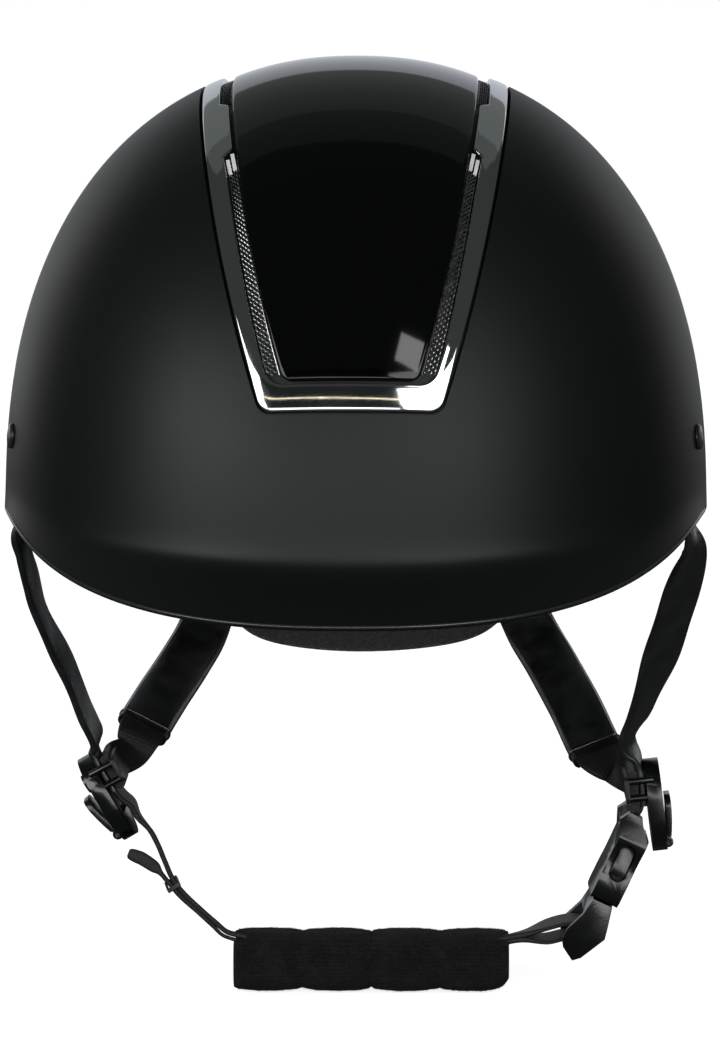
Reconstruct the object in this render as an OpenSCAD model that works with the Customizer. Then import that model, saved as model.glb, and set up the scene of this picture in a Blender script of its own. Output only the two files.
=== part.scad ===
// Riding helmet with a peaked shell, a trim frame with mesh vents and a four point harness.
// +Z is up, the face looks along -Y, and +X is the wearer's left.
// The origin is the middle of the head opening, in the plane of the rim above the ears.

/* [Shell] */
// Width of the shell above the ears
shell_w = 224; // [214:1:232]
// Reach of the dome ahead of the middle
dome_front = 132; // [127:1:138]
// Reach of the dome behind the middle
dome_rear = 137; // [132:1:144]
// Height of the crown above the side rim
crown_h = 141.5; // [136:0.5:148]
// Squareness of the dome, where 2 is an ellipse
dome_power = 2.32; // [2.2:0.01:2.45]
// Wall of the moulded shell
shell_wall = 3.6; // [3.2:0.1:4.2]
// Reach of the peak beyond the dome
peak_reach = 26; // [18:1:32]
// Drop of the peak's edge below the side rim
peak_drop = 20.8; // [16:0.2:26]
// Height of the crease between dome and peak, at the front
crease_z = -5.4; // [-8:0.2:-2]
// Rounding of that crease
crease_r = 3; // [1.5:0.5:6]
// Drop of the rear rim below the side rim
nape_drop = 28; // [20:1:34]

/* [Trim] */
// Half width of the trim frame over the crown
trim_half = 48.3; // [44:0.1:50]
// Angle of the frame's front edge above the horizon, seen from the side
trim_front = 17.6; // [15:0.2:22]
// Angle of the frame's rear edge, measured the same way over the crown
trim_rear = 152; // [140:1:158]
// Width of the side rails beside the vents
rail_w = 5.8; // [4.5:0.1:6.6]
// Width of the side rails where they bridge between the vents
bridge_w = 8.5; // [7.4:0.1:8.8]
// Height of the front and rear bars, in degrees of the same angle
bar_deg = 3.6; // [3:0.1:5]
// Thickness of the frame
frame_t = 2.2; // [1.6:0.1:2.4]
// Distance from the frame's outer edge to the panel
panel_inset = 9.2; // [9:0.1:10.4]
// Height of the panel's face above the shell
panel_proud = 1; // [0.4:0.1:1.4]
// Thickness of the vent mesh
mesh_t = 0.6; // [0.4:0.05:0.8]

/* [Liner] */
// Thickness of the foam at the sides
foam_side = 22; // [18:0.5:26]
// Thickness of the foam at the front and the back
foam_ends = 21; // [18:0.5:25]
// Thickness of the foam at the crown
foam_top = 27; // [22:0.5:32]
// Depth of the strap channels in the foam
channel_deep = 6.4; // [6:0.1:8]
// Thickness of the comfort band
band_t = 6; // [4:0.5:8]
// Height of the comfort band
band_h = 34; // [26:1:40]

/* [Harness] */
// Width of the front straps
front_strap_w = 18; // [15:0.5:19]
// Thickness of the front and rear straps
strap_t = 2.2; // [1.6:0.1:2.4]
// Width of the rear strap's sleeve
sleeve_w = 17.8; // [17.2:0.2:21]
// Thickness of that sleeve
sleeve_t = 4.6; // [4.2:0.1:6]
// Width of the webbing at the rear and under the chin
web_w = 15.5; // [13:0.5:16]
// Thickness of the chin webbing
web_t = 1.2; // [1:0.1:1.5]
// Diameter of the rivet heads
rivet_d = 8; // [6:0.5:10]
// Diameter of the rivet shanks
shank_d = 4; // [3:0.2:4.4]
// Height of the nape band
nape_h = 34; // [26:1:38]

/* [Dividers] */
// Length of the oval divider plates
divider_l = 30.4; // [29:0.2:33]
// Width of the divider plates
divider_w = 24; // [22:0.5:26]
// Thickness of the divider plates
divider_t = 4.8; // [4:0.1:5.2]
// Thickness of the lock levers
lever_t = 1.8; // [1.5:0.1:2.2]

/* [Buckle] */
// Width of the buckle housing
buckle_w = 25; // [23:0.5:27]
// Thickness of the buckle housing
buckle_t = 9.6; // [9:0.1:10.4]
// Length of the buckle housing without its strap bar
housing_l = 24; // [23.4:0.2:26]
// Wall of the housing
housing_wall = 1.9; // [1.6:0.1:2.2]
// Length of the tongue's strap end
tongue_l = 17.6; // [16:0.2:19]
// Diameter of the strap bars
bar_d = 3; // [2.6:0.1:3.4]

/* [Chin pad] */
// Length of the chin pad
pad_l = 89; // [80:1:96]
// Height of the chin pad
pad_h = 20.8; // [18:0.2:24]
// Depth of the chin pad
pad_d = 26; // [24:0.5:30]
// Number of quilted lobes
pad_lobes = 4; // [3:1:6]

/* [Fits] */
// Gap between pieces that lie against each other
seat_gap = 0.3; // [0.25:0.05:0.4]
// Gap between the trim and the edges of its recess
trim_gap = 0.6; // [0.4:0.1:0.9]
// Play round a pin in its hole, in diameter
pin_play = 0.5; // [0.4:0.1:0.8]

/* [Hidden] */

shell_half = shell_w / 2;
// Azimuth of the peak's ends, where its edge has risen to the side rim
peak_end = 68;
// Rise of the crease from the front towards the sides
crease_rise = 14.2;
// Height where the dome's rings end and the rim's rings begin
skirt_z = 10;
AROUND = 52;
DOME_RINGS = 11;
SKIRT_RINGS = 7;

// Half sizes of the inside of the shell, of the foam's outside and of its inside
inner_half = [shell_half - shell_wall, dome_front - shell_wall, dome_rear - shell_wall,
    crown_h - shell_wall];
foam_half = [for (v = inner_half) v - seat_gap];
head_half = [foam_half[0] - foam_side, foam_half[1] - foam_ends, foam_half[2] - foam_ends,
    foam_half[3] - foam_top];
outer_half = [shell_half, dome_front, dome_rear, crown_h];

// Angle where the frame is widest, and how it narrows away from there
trim_mid = 88;
trim_span = 97.5;
trim_fall = 2.45;
// Ends of the front and rear vents along the same angle
vent_front = [21.6, 55.4];
vent_rear = [69, 147.8];
recess_deep = frame_t + seat_gap;
// Length along the dome that one degree stands for, near the frame's ends
deg_mm = 2.25;

// Middle of each front rivet, the axis that the harness swings on, and of each rear one
front_rivet = [-45, 25];
rear_rivet_turn = 158;
rear_rivet_z = 6;

// Places and tilts of the dividers and of the buckle
divider_y = 5;
left_divider = [-81.1, divider_y, -98.2];
left_tilt = -30.8;
right_divider = [97.1, divider_y, -100.4];
right_tilt = -6.6;
left_ajar = 9;
buckle_foot = [72.3, divider_y, -146.8];
buckle_tilt = 25.5;

// Middle height of the webbing where it enters the chin pad
web_z = -144.4;
pad_mid = [4.8, divider_y, -150.5];

function unit(v) = v / norm(v);
function side(v) = v < 0 ? -1 : 1;
function ramp(t) = let (c = min(1, max(0, t))) c * c * (3 - 2 * c);
// Rounded corner of a slope that starts where h passes zero, and its steepness
function bend(h) = (sqrt(h * h + crease_r * crease_r) + h) / 2;
function bend_slope(h) = (h / sqrt(h * h + crease_r * crease_r) + 1) / 2;

// Azimuth t runs from 0 at the front, over 90 at the ears, to 180 at the back
function fold(t) = abs(t > 180 ? t - 360 : t);
function plan_r(t, half) = pow(pow(abs(sin(t)) / half[0], dome_power)
    + pow(abs(cos(t)) / (cos(t) > 0 ? half[1] : half[2]), dome_power), -1 / dome_power);
function rim_z(t) = let (u = fold(t))
    -peak_drop * (1 - ramp(pow(u / peak_end, 1.3))) - nape_drop * ramp((u - 100) / 75);
function crease_at(t) = crease_z + crease_rise * pow(sin(t), 2);
function peak_gain(t) = cos(t) > 0
    ? plan_r(t, [shell_half, dome_front + peak_reach, dome_rear]) - plan_r(t, outer_half) : 0;
function peak_out(t, z) = let (c = crease_at(t)) peak_gain(t) * bend(c - z) / bend(c - rim_z(t));
function peak_steep(t, z) = let (c = crease_at(t))
    peak_gain(t) / bend(c - rim_z(t)) * bend_slope(c - z);
// The back of the shell draws in below the rim's level
function tuck(t, z) = z < 0 ? 0.10 * pow(z / 30, 2) * ramp((fold(t) - 95) / 60) : 0;
function dome_r(t, z, half) = plan_r(t, half)
    * (z > 0 ? pow(max(0, 1 - pow(z / half[3], dome_power)), 1 / dome_power) : 1) * (1 - tuck(t, z));
function at(t, r, z) = [sin(t) * r, -cos(t) * r, z];

// Heights of one meridian's rings, from next to the crown down to the rim
function ring_heights(t, half, low) = let (end = asin(pow(skirt_z / half[3], dome_power / 2)))
    concat([for (k = [1:DOME_RINGS]) half[3] * pow(sin(90 - (90 - end) * k / DOME_RINGS), 2 / dome_power)],
        [for (k = [1:SKIRT_RINGS]) skirt_z + (low - skirt_z) * k / SKIRT_RINGS]);
function turn_steps(count) = [for (i = [0:count - 1]) i * 360 / count];
function flip(rings) = [for (i = [len(rings) - 1:-1:0]) rings[i]];

// A closed skin over rings of equal count, from a first point to a last one
module loft(rings, first, last) {
    m = len(rings[0]);
    k = len(rings);
    points = concat([first], [for (r = rings) each r], [last]);
    faces = concat(
        [for (i = [0:m - 1]) [0, 1 + (i + 1) % m, 1 + i]],
        [for (j = [0:k - 2], i = [0:m - 1], h = [0, 1])
            let (p = 1 + j * m + i, q = 1 + j * m + (i + 1) % m)
            h == 0 ? [p, q, p + m] : [q, q + m, p + m]],
        [for (i = [0:m - 1]) [k * m + 1, (k - 1) * m + 1 + i, (k - 1) * m + 1 + (i + 1) % m]]);
    polyhedron(points, faces);
}

// The same skin bent round into a closed loop
module loop_loft(rings) {
    m = len(rings[0]);
    k = len(rings);
    faces = [for (j = [0:k - 1], i = [0:m - 1], h = [0, 1])
        let (p = j * m + i, q = j * m + (i + 1) % m,
            r = ((j + 1) % k) * m + i, s = ((j + 1) % k) * m + (i + 1) % m)
        h == 0 ? [p, q, r] : [q, s, r]];
    polyhedron([for (r = rings) each r], faces);
}

// A sheet with thickness between two grids of points, left open in the cells that gap(i, j) names
module sheet(top, low, gap = function (i, j) false) {
    rows = len(top);
    cols = len(top[0]);
    n = rows * cols;
    full = function (i, j) i >= 0 && j >= 0 && i < rows - 1 && j < cols - 1 && !gap(i, j);
    wall = function (p, q) [[p, q, p + n], [q, q + n, p + n]];
    faces = [for (i = [0:rows - 2], j = [0:cols - 2]) if (full(i, j))
        let (a = i * cols + j, b = a + 1, c = b + cols, d = a + cols)
        each concat([[a, c, b], [a, d, c], [a + n, b + n, c + n], [a + n, c + n, d + n]],
            full(i - 1, j) ? [] : wall(a, b), full(i, j + 1) ? [] : wall(b, c),
            full(i + 1, j) ? [] : wall(c, d), full(i, j - 1) ? [] : wall(d, a))];
    polyhedron(concat([for (r = top) each r], [for (r = low) each r]), faces);
}

// Smooth curve through points, or through points with their directions beside them
function blend4(a, b, c, d, t) = 0.5 * (2 * b + (c - a) * t + (2 * a - 5 * b + 4 * c - d) * t * t
    + (3 * b - a - 3 * c + d) * t * t * t);
function curve(p, steps) = let (e = len(p) - 1) concat(
    [for (i = [0:e - 1], k = [0:steps - 1])
        blend4(p[max(i - 1, 0)], p[i], p[i + 1], p[min(i + 2, e)], k / steps)], [p[e]]);
// A place beside a divider, in the plate's own frame
function left_at(x, z, y = divider_y) = [left_divider[0] - x * cos(left_tilt) + z * sin(left_tilt), y,
    left_divider[2] + x * sin(left_tilt) + z * cos(left_tilt)];
function right_at(x, z, y = divider_y) = [right_divider[0] + x * cos(right_tilt) + z * sin(right_tilt), y,
    right_divider[2] - x * sin(right_tilt) + z * cos(right_tilt)];
function place(q) = [q[0], q[1], q[2]];
function across(q) = [q[3], q[4], q[5]];

// A station: place, width direction, and factors for thickness and width
function row(x, y, z, hint, thick = 1, wide = 1) = [x, y, z, hint[0], hint[1], hint[2], thick, wide];
function yaw(a) = [sin(a), cos(a), 0];

// A flat band along stations of place and width direction, with its long edges eased
function band_ring(p, along, hint, w, t) = let (
    wide = unit(hint - (hint * along) * along),
    thick = cross(along, wide),
    ease = min(t, w) * 0.25)
    [for (c = [[w / 2 - ease, t / 2], [w / 2, 0], [w / 2 - ease, -t / 2],
        [ease - w / 2, -t / 2], [-w / 2, 0], [ease - w / 2, t / 2]])
        p + wide * c[0] + thick * c[1]];
module ribbon(stations, w, t) {
    e = len(stations) - 1;
    rings = [for (i = [0:e])
        let (q = stations[i], along = unit(place(stations[min(i + 1, e)]) - place(stations[max(i - 1, 0)])))
        band_ring(place(q), along, across(q), w * q[7], t * q[6])];
    loft(rings, place(stations[0]), place(stations[e]));
}

// A point on a dome by its angle s in the side view and its distance x from the middle plane
function dome_point(s, x, off, half = outer_half) = let (
    b = cos(s) > 0 ? half[1] : half[2],
    q = 1 - pow(abs(x) / half[0], dome_power),
    r = pow(q / (pow(abs(cos(s)) / b, dome_power) + pow(abs(sin(s)) / half[3], dome_power)),
        1 / dome_power),
    p = [x, -r * cos(s), r * sin(s)],
    steep = dome_power - 1,
    normal = [side(p[0]) * pow(abs(p[0]), steep) / pow(half[0], dome_power),
        side(p[1]) * pow(abs(p[1]), steep) / pow(b, dome_power),
        side(p[2]) * pow(abs(p[2]), steep) / pow(half[3], dome_power)])
    p + off * unit(normal);
// Half width of the trim's outer edge at the angle s
function trim_x(s) = trim_half * (1 - pow(abs(trim_mid - s) / trim_span, trim_fall));
// Width of the side rail, which is broader between the vents
function rail_at(s) = rail_w - 1.3 * ramp((50 - s) / 32) + (bridge_w - rail_w)
    * ramp((s - vent_front[1] + 0.6) / 1.6) * (1 - ramp((s - vent_rear[0] + 1.4) / 1.8));

// Grid rows of a trim area: ends at s0 and s1 with corners of radius r, inset from the outer edge
function end_steps(r) = [for (a = [0, 30, 60]) [r * (1 - cos(a)) / deg_mm, r * (1 - sin(a))]];
trim_stops = [27, 32, 37.5, 43.5, 49.5, vent_front[1] - 0.9, vent_front[1] - 0.1, vent_front[1] + 0.7,
    vent_front[1] + 1.9, 62, vent_rear[0] - 1.6, vent_rear[0] - 0.4, vent_rear[0] + 0.8, 75, 82, 90, 98,
    106, 114, 122, 130, 137];
function area_rows(s0, s1, r, inset) = let (e = end_steps(r), a = s0 + r / deg_mm, b = s1 - r / deg_mm) concat(
    [for (c = e) [s0 + c[0], trim_x(s0 + c[0]) - inset(s0 + c[0]) - c[1]]],
    [for (s = concat([a, (2 * a + 27) / 3, (a + 54) / 3], trim_stops, [(137 + b) / 2, b]))
        [s, trim_x(s) - inset(s)]],
    [for (i = [2:-1:0]) [s1 - e[i][0], trim_x(s1 - e[i][0]) - inset(s1 - e[i][0]) - e[i][1]]]);
function area_grid(rows, cols, off) = [for (r = rows) [for (j = [0:cols])
    dome_point(r[0], r[1] * (2 * j / cols - 1), off)]];
module area_slab(rows, cols, low, high) {
    sheet(area_grid(rows, cols, high), area_grid(rows, cols, low));
}

// A closed walk round the edge of such an area
function edge_walk(rows, cols) = let (n = len(rows)) concat(
    [for (j = [0:cols - 1]) [rows[0][0], rows[0][1] * (2 * j / cols - 1)]],
    [for (r = rows) r],
    [for (j = [1:cols - 1]) [rows[n - 1][0], rows[n - 1][1] * (1 - 2 * j / cols)]],
    [for (i = [n - 1:-1:1]) [rows[i][0], -rows[i][1]]]);

frame_corner = 3;
function outer_rows(grow) = area_rows(trim_front - grow / deg_mm, trim_rear + grow / deg_mm,
    frame_corner + grow, function (s) -grow);

module shell_body() {
    outer = [for (k = [0:DOME_RINGS + SKIRT_RINGS - 1]) [for (t = turn_steps(AROUND))
        let (z = ring_heights(t, outer_half, rim_z(t))[k])
        at(t, dome_r(t, z, outer_half) + peak_out(t, z), z)]];
    inner = [for (k = [0:DOME_RINGS + SKIRT_RINGS - 1]) [for (t = turn_steps(AROUND))
        let (z = ring_heights(t, inner_half, rim_z(t))[k])
        at(t, dome_r(t, z, inner_half) + peak_out(t, z)
            - shell_wall * (sqrt(1 + pow(peak_steep(t, z), 2)) - 1), z)]];
    loft(concat(outer, flip(inner)), [0, 0, crown_h], [0, 0, inner_half[3]]);
}

// Air slots through the shell, under the vent meshes
slot_edge = 0.5;
module vent_slot(span, hand) {
    rows = [for (k = [0:8]) span[0] + 2 + (span[1] - span[0] - 4) * k / 8];
    grid = function (off) [for (s = rows) [for (j = [0, 1])
        dome_point(s, hand * (trim_x(s) - rail_at(s) - slot_edge
            - j * (panel_inset - rail_at(s) - 2 * slot_edge)), off)]];
    if (hand < 0) sheet(grid(2), grid(-3 * shell_wall));
    else sheet(grid(-3 * shell_wall), grid(2));
}

// Places a rivet's own axis: the shank lies along X, and the head is square to the shell
function rivet_spots() = [for (h = [-1, 1])
    let (r = dome_r(rear_rivet_turn, rear_rivet_z, outer_half))
    [h * sin(rear_rivet_turn) * r, -cos(rear_rivet_turn) * r, rear_rivet_z]];
function side_x(y, z, half) = half[0] * pow(1 - pow(abs(y) / (y < 0 ? half[1] : half[2]), dome_power)
    - pow(max(z, 0) / half[3], dome_power), 1 / dome_power);
front_x = side_x(front_rivet[0], front_rivet[1], outer_half);
// Slope of the shell in plan and in height at a front rivet
front_yaw = 12.1;
front_lean = 5;
rear_yaw = atan2(1, tan(180 - rear_rivet_turn)) - 90;

module front_shanks(d, from, to) {
    for (h = [-1, 1]) translate([h * (from + to) / 2, front_rivet[0], front_rivet[1]])
        rotate([0, 90, 0]) cylinder(d = d, h = to - from, center = true, $fn = 32);
}
// Stands what follows on the shell at a rear rivet, with +Z outward
module at_rear_rivets() {
    for (p = rivet_spots()) translate(p)
        rotate([0, 0, atan2(p[1] / pow(dome_rear / shell_half, 2), p[0])]) rotate([0, 90, 0]) children();
}

module outer_shell() {
    color("#1c1f1d") difference() {
        resize([shell_w, 0, 0]) difference() {
            shell_body();
            area_slab(outer_rows(trim_gap), 10, -recess_deep, 6);
            for (h = [-1, 1]) {
                vent_slot(vent_front, h);
                vent_slot(vent_rear, h);
            }
        }
        front_shanks(shank_d + pin_play, front_x - 12, front_x + 6);
        at_rear_rivets() cylinder(d = shank_d + pin_play, h = 24, center = true, $fn = 32);
    }
}

// Soft lining against the inside of the peak, from the foam down to the shell's edge
lining_t = 1.6;
LINING_ROWS = 9;
function inner_r(t, z) = dome_r(t, z, inner_half) + peak_out(t, z)
    - shell_wall * (sqrt(1 + pow(peak_steep(t, z), 2)) - 1);
function lining_row(t, down, deep) = let (
    top_z = foam_rim(t) - 2 * seat_gap,
    z = top_z + (rim_z(t) + 1.2 - top_z) * down)
    at(t, inner_r(t, z) - (1.8 * seat_gap + lining_t * deep) * sqrt(1 + pow(peak_steep(t, z), 2)), z);
module peak_lining() {
    turns = [for (k = [-7:7]) k * 360 / AROUND];
    grid = function (deep) [for (t = turns) [for (k = [0:LINING_ROWS]) lining_row(t, k / LINING_ROWS, deep)]];
    color("#232323") sheet(grid(0), grid(1));
}

function foam_rim(t) = let (u = fold(t)) 1.5 - 5 * (1 - ramp(u / peak_end))
    - (nape_drop - 2) * ramp((u - 100) / 75);
// Depth of the channels that the straps run and swing in
function channel(t, z) = let (u = fold(t)) channel_deep
    * (ramp((u - 46) / 12) * (1 - ramp((u - 88) / 12)) * (1 - ramp((z - 40) / 14))
    + ramp((u - 138) / 9) * (1 - ramp((u - 167) / 8)) * (1 - ramp((z - 20) / 14)));
FOAM_AROUND = AROUND;
module foam_liner() {
    outer = [for (k = [0:DOME_RINGS + 2]) [for (t = turn_steps(FOAM_AROUND))
        let (z = foam_heights(t, foam_half)[k])
        at(t, dome_r(t, z, foam_half) - channel(t, z), z)]];
    inner = [for (k = [0:DOME_RINGS + 2]) [for (t = turn_steps(FOAM_AROUND))
        let (z = foam_heights(t, head_half)[k]) at(t, dome_r(t, z, head_half), z)]];
    color("#3a3c3d") loft(concat(outer, flip(inner)), [0, 0, foam_half[3]], [0, 0, head_half[3]]);
}
function foam_heights(t, half) = let (end = asin(pow(skirt_z / half[3], dome_power / 2)), low = foam_rim(t))
    concat([for (k = [1:DOME_RINGS]) half[3] * pow(sin(90 - (90 - end) * k / DOME_RINGS), 2 / dome_power)],
        [for (k = [1:3]) skirt_z + (low - skirt_z) * k / 3]);

// Raised centre panel, with its edges rounded down to the frame
panel_front = vent_front[0] - 0.3 + trim_gap / deg_mm;
panel_rear = vent_rear[1] + 0.6 - trim_gap / deg_mm;
module top_panel() {
    rows = area_rows(panel_front, panel_rear, 2.8, function (s) panel_inset);
    sides = [-1, -0.97, -0.9, -0.6, -0.2, 0.2, 0.6, 0.9, 0.97, 1];
    drop = [1, 0.35, 0, 0, 0, 0, 0, 0, 0.35, 1];
    last = len(rows) - 1;
    top = [for (i = [0:last]) [for (j = [0:9])
        let (end = i == 0 || i == last ? 1 : i == 1 || i == last - 1 ? 0.35 : 0)
        dome_point(rows[i][0], rows[i][1] * sides[j], panel_proud * (1 - max(end, drop[j])))]];
    low = [for (r = rows) [for (s = sides) dome_point(r[0], r[1] * s, seat_gap - recess_deep)]];
    color("#0a0b0c") sheet(top, low);
}

// The frame's section: bevelled outside and inside, face a little hollow
module trim_frame() {
    cols = 6;
    outside = edge_walk(outer_rows(0), cols);
    inside = edge_walk(area_rows(trim_front + bar_deg, trim_rear - bar_deg, 2.8,
        function (s) rail_at(s)), cols);
    section = [[0, seat_gap - recess_deep], [0, -0.7], [0.14, 0.1], [0.5, -0.1], [0.86, 0.2],
        [1, -0.6], [1, seat_gap - recess_deep]];
    rings = [for (i = [0:len(outside) - 1]) [for (c = section)
        let (p = inside[i] + (outside[i] - inside[i]) * c[0]) dome_point(p[0], p[1], c[1])]];
    color("#8d9298") loop_loft(flip(rings));
}

// A vent mesh: rows of staggered gaps, two abreast, between thin webs
module vent_mesh(span, hand, count) {
    line = [for (k = [0:count - 1], h = [0, 1]) k + (h == 0 ? 0 : 0.36)];
    rows = concat(line, [count]);
    bars = [0, 0.16, 0.5 - 0.08, 0.5 + 0.08, 0.84, 1];
    grid = function (off) [for (i = [0:len(rows) - 1]) [for (j = [0:5])
        let (s = span[0] + 0.9 + (span[1] - span[0] - 1.8) * rows[i] / count,
            rail = rail_at(s),
            wide = panel_inset - rail - 2 * seat_gap,
            shift = j == 0 || j == 5 ? 0 : (floor(i / 2) % 2 == 0 ? 0.05 : -0.05))
        dome_point(s, hand * (trim_x(s) - rail - seat_gap - wide * (bars[j] + shift)), off)]];
    gap = function (i, j) i % 2 == 1 && j % 2 == 1;
    high = grid(mesh_t + seat_gap - recess_deep);
    low = grid(seat_gap - recess_deep);
    color("#b8bcc0") if (hand < 0) sheet(high, low, gap);
    else sheet(low, high, gap);
}
front_gaps = 30;
rear_gaps = 20;
module vent_mesh_front_left() { vent_mesh(vent_front, 1, front_gaps); }
module vent_mesh_front_right() { vent_mesh(vent_front, -1, front_gaps); }
module vent_mesh_rear_left() { vent_mesh(vent_rear, 1, rear_gaps); }
module vent_mesh_rear_right() { vent_mesh(vent_rear, -1, rear_gaps); }

// Comfort band round the inside of the foam, swelling between its seams
BAND_AROUND = AROUND;
module comfort_band() {
    section = [[0, 0], [0.55, 0.06], [1, 0.3], [1, 0.7], [0.55, 0.94], [0, 1]];
    rings = [for (t = turn_steps(BAND_AROUND))
        [for (c = section)
            let (low = foam_rim(t) + 1, z = low + band_h * c[1],
                swell = 0.8 + 0.2 * abs(sin(t * 4)))
            at(t, dome_r(t, z, head_half) - 1.4 * seat_gap - band_t * c[0] * swell, z)]];
    color("#2a2c2e") loop_loft(flip(rings));
}

// Cushion under the crown
module crown_pad() {
    across_n = 12;
    top = [for (i = [0:across_n]) [for (j = [0:across_n]) pad_point(j, i, across_n, 0)]];
    low = [for (i = [0:across_n]) [for (j = [0:across_n]) pad_point(j, i, across_n, 1)]];
    color("#2a2c2e") sheet(top, low);
}
crown_pad_l = 120;
crown_pad_w = 84;
crown_pad_t = 7;
function pad_point(i, j, n, deep) = let (
    u = 2 * i / n - 1, v = 2 * j / n - 1,
    x = crown_pad_w / 2 * u * sqrt(1 - v * v / 2), y = crown_pad_l / 2 * v * sqrt(1 - u * u / 2),
    edge = max(abs(u), abs(v)),
    b = y < 0 ? head_half[1] : head_half[2],
    z = head_half[3] * pow(1 - pow(abs(x) / head_half[0], dome_power) - pow(abs(y) / b, dome_power),
        1 / dome_power),
    swell = (1 - pow(edge, 4)) * (0.8 + 0.2 * abs(cos(u * 180))))
    [x, y, z - 3 * seat_gap - (0.8 + (crown_pad_t - 0.8) * swell) * deep];

// Padded band at the nape, a crescent between the rear straps
nape_t = 4;
nape_reach = 44;
function nape_point(u, v, deep) = let (
    x = nape_reach * u,
    z = foam_rim(180) - 7.6 - nape_h * v * (1 - 0.12 * u * u) + 4 * u * u,
    y = 120.4 - 0.0043 * x * x - 10.4 * v)
    [x, y - nape_t * (1 - deep) * (1 - 0.4 * pow(abs(2 * v - 1), 3)), z];
module nape_band() {
    grid = function (deep) [for (i = [-8:8]) [for (j = [0:6]) nape_point(i / 8, j / 6, deep)]];
    color("#1b1b1c") sheet(grid(0), grid(1));
}

// Rivets: a shank with a low domed head outside
module rivet_head() {
    rotate_extrude($fn = 48) polygon([[0, 0], [rivet_d / 2, 0], [rivet_d / 2, 0.5],
        [rivet_d / 2 - 0.5, 1], [rivet_d / 5, 1.35], [0, 1.4]]);
}
module shell_rivets() {
    color("#151617") {
        for (h = [-1, 1]) {
            translate([h * (front_x + seat_gap * 0.6), front_rivet[0], front_rivet[1]])
                rotate([0, 0, h > 0 ? -front_yaw : 180 + front_yaw]) rotate([0, 90 - front_lean, 0])
                    rivet_head();
        }
        front_shanks(shank_d, front_x - 9.7, front_x + 0.8);
        at_rear_rivets() {
            translate([0, 0, seat_gap]) rivet_head();
            translate([0, 0, -9.6]) cylinder(d = shank_d, h = 10.2, $fn = 32);
        }
    }
}
// Washers that hold the straps on the shanks
washer_t = 1;
module rivet_washers() {
    color("#777b7f") {
        for (h = [-1, 1]) translate([h * (front_x - 9.1), front_rivet[0], front_rivet[1]])
            rotate([0, 90, 0]) difference() {
                cylinder(d = rivet_d + 2, h = washer_t, center = true, $fn = 40);
                cylinder(d = shank_d + 0.3, h = 3, center = true, $fn = 32);
            }
        at_rear_rivets() translate([0, 0, -8.6]) difference() {
            cylinder(d = rivet_d + 2, h = washer_t, center = true, $fn = 40);
            cylinder(d = shank_d + 0.3, h = 3, center = true, $fn = 32);
        }
    }
}

// Front straps: from the rivets, down inside the shell, then free to the dividers
// Middle of a strap that lies inside the shell wall at a height
function under_shell(y, z) = side_x(y, z, inner_half) - 1.1 - strap_t / 2;
front_top = [[-48.3, 31, 13], [front_rivet[0], front_rivet[1], 12.5], [-41, 12.5, 11], [-36.8, 0.5, 9]];
left_strap = [[-105.8, -36.4, -5, 5], [-105.1, -33.4, -11.4, 5], [-103.3, -28.5, -21, 5],
    [-100.3, -20.5, -34.9, 5], [-92.6, -8.5, -55, 7.5], [-88.2, -1, -68.5, 6], [-85, 3.6, -78, 4],
    [each left_at(-4.2, 15), 0], [each left_at(-3.8, 8.5), 0]];
right_strap = [[105.2, -35.6, -6, 8], [105.8, -32.5, -14.6, 30], [103, -25, -28, 40], [98, -13, -48.5, 40],
    [92.2, -3, -68, 24], [88.6, 3, -78.5, 15], [each right_at(-4.2, 15), 5], [each right_at(-3.8, 8.5), 0]];
module front_strap(list, hand) {
    stations = curve(concat(
        [for (q = front_top) row(hand * under_shell(q[0], q[1]), q[0], q[1], yaw(hand * q[2]))],
        [for (q = list) row(q[0], q[1], q[2], yaw(q[3]))]), 3);
    difference() {
        ribbon(stations, front_strap_w, strap_t);
        front_shanks(shank_d + pin_play, front_x - 14, front_x);
    }
}
module front_strap_left() { color("#26292a") front_strap(left_strap, -1); }
module front_strap_right() { color("#26292a") front_strap(right_strap, 1); }

// Rear straps: riveted inside the shell, then in a sleeve down to the bare webbing at the divider
left_rear = [[-48, 112.2, -31.5, 1, 0.44, 0], [-50, 111.4, -42, 1, 0.34, -0.1],
    [-54.4, 106, -57.6, 0.94, 0.2, -0.3], [-60, 87, -66.5, 0.9, 0.1, -0.42],
    [-66.2, 58, -73.8, 0.9, 0, -0.45], [-71.3, 30, -80.3, 0.89, 0, -0.45]];
left_up = [-sin(left_tilt), 0, -cos(left_tilt)];
left_rear_end = [[-74.2, 24.6, -86.4, 0.74, 0, -0.68], [each left_at(-7.4, 7.4, 18.6), each left_up],
    [each left_at(-6.6, 7, 14), each left_up], [each left_at(-6.6, 7, 1), each left_up]];
right_rear = [[47, 112.4, -31.5, 1, -0.44, 0], [51.6, 110.8, -42, 1, -0.34, 0.1],
    [58.6, 105, -57, 0.94, -0.2, 0.3], [65.4, 85, -66.5, 0.85, 0.2, 0.4],
    [72.8, 56, -77, 0.66, 0.5, 0.5], [79.4, 28, -87.8, 0.48, 0.7, 0.53]];
right_up = [sin(right_tilt), 0, cos(right_tilt)];
right_rear_end = [[85.4, 24, -91.6, 0.2, 0.5, 0.84], [each right_at(-7.4, 7.4, 18.6), each right_up],
    [each right_at(-6.6, 7, 14), each right_up], [each right_at(-6.6, 7, 1), each right_up]];
function rear_rows(list) = [for (q = list) row(q[0], q[1], q[2], across(q))];
function rear_top(hand) = [for (z = [14, 4, -7, -16, -24])
    let (r = dome_r(rear_rivet_turn, z, inner_half) - 1.4 - strap_t / 2)
    row(hand * sin(rear_rivet_turn) * r, -cos(rear_rivet_turn) * r, z, [1, -0.49 * hand, 0])];
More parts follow.
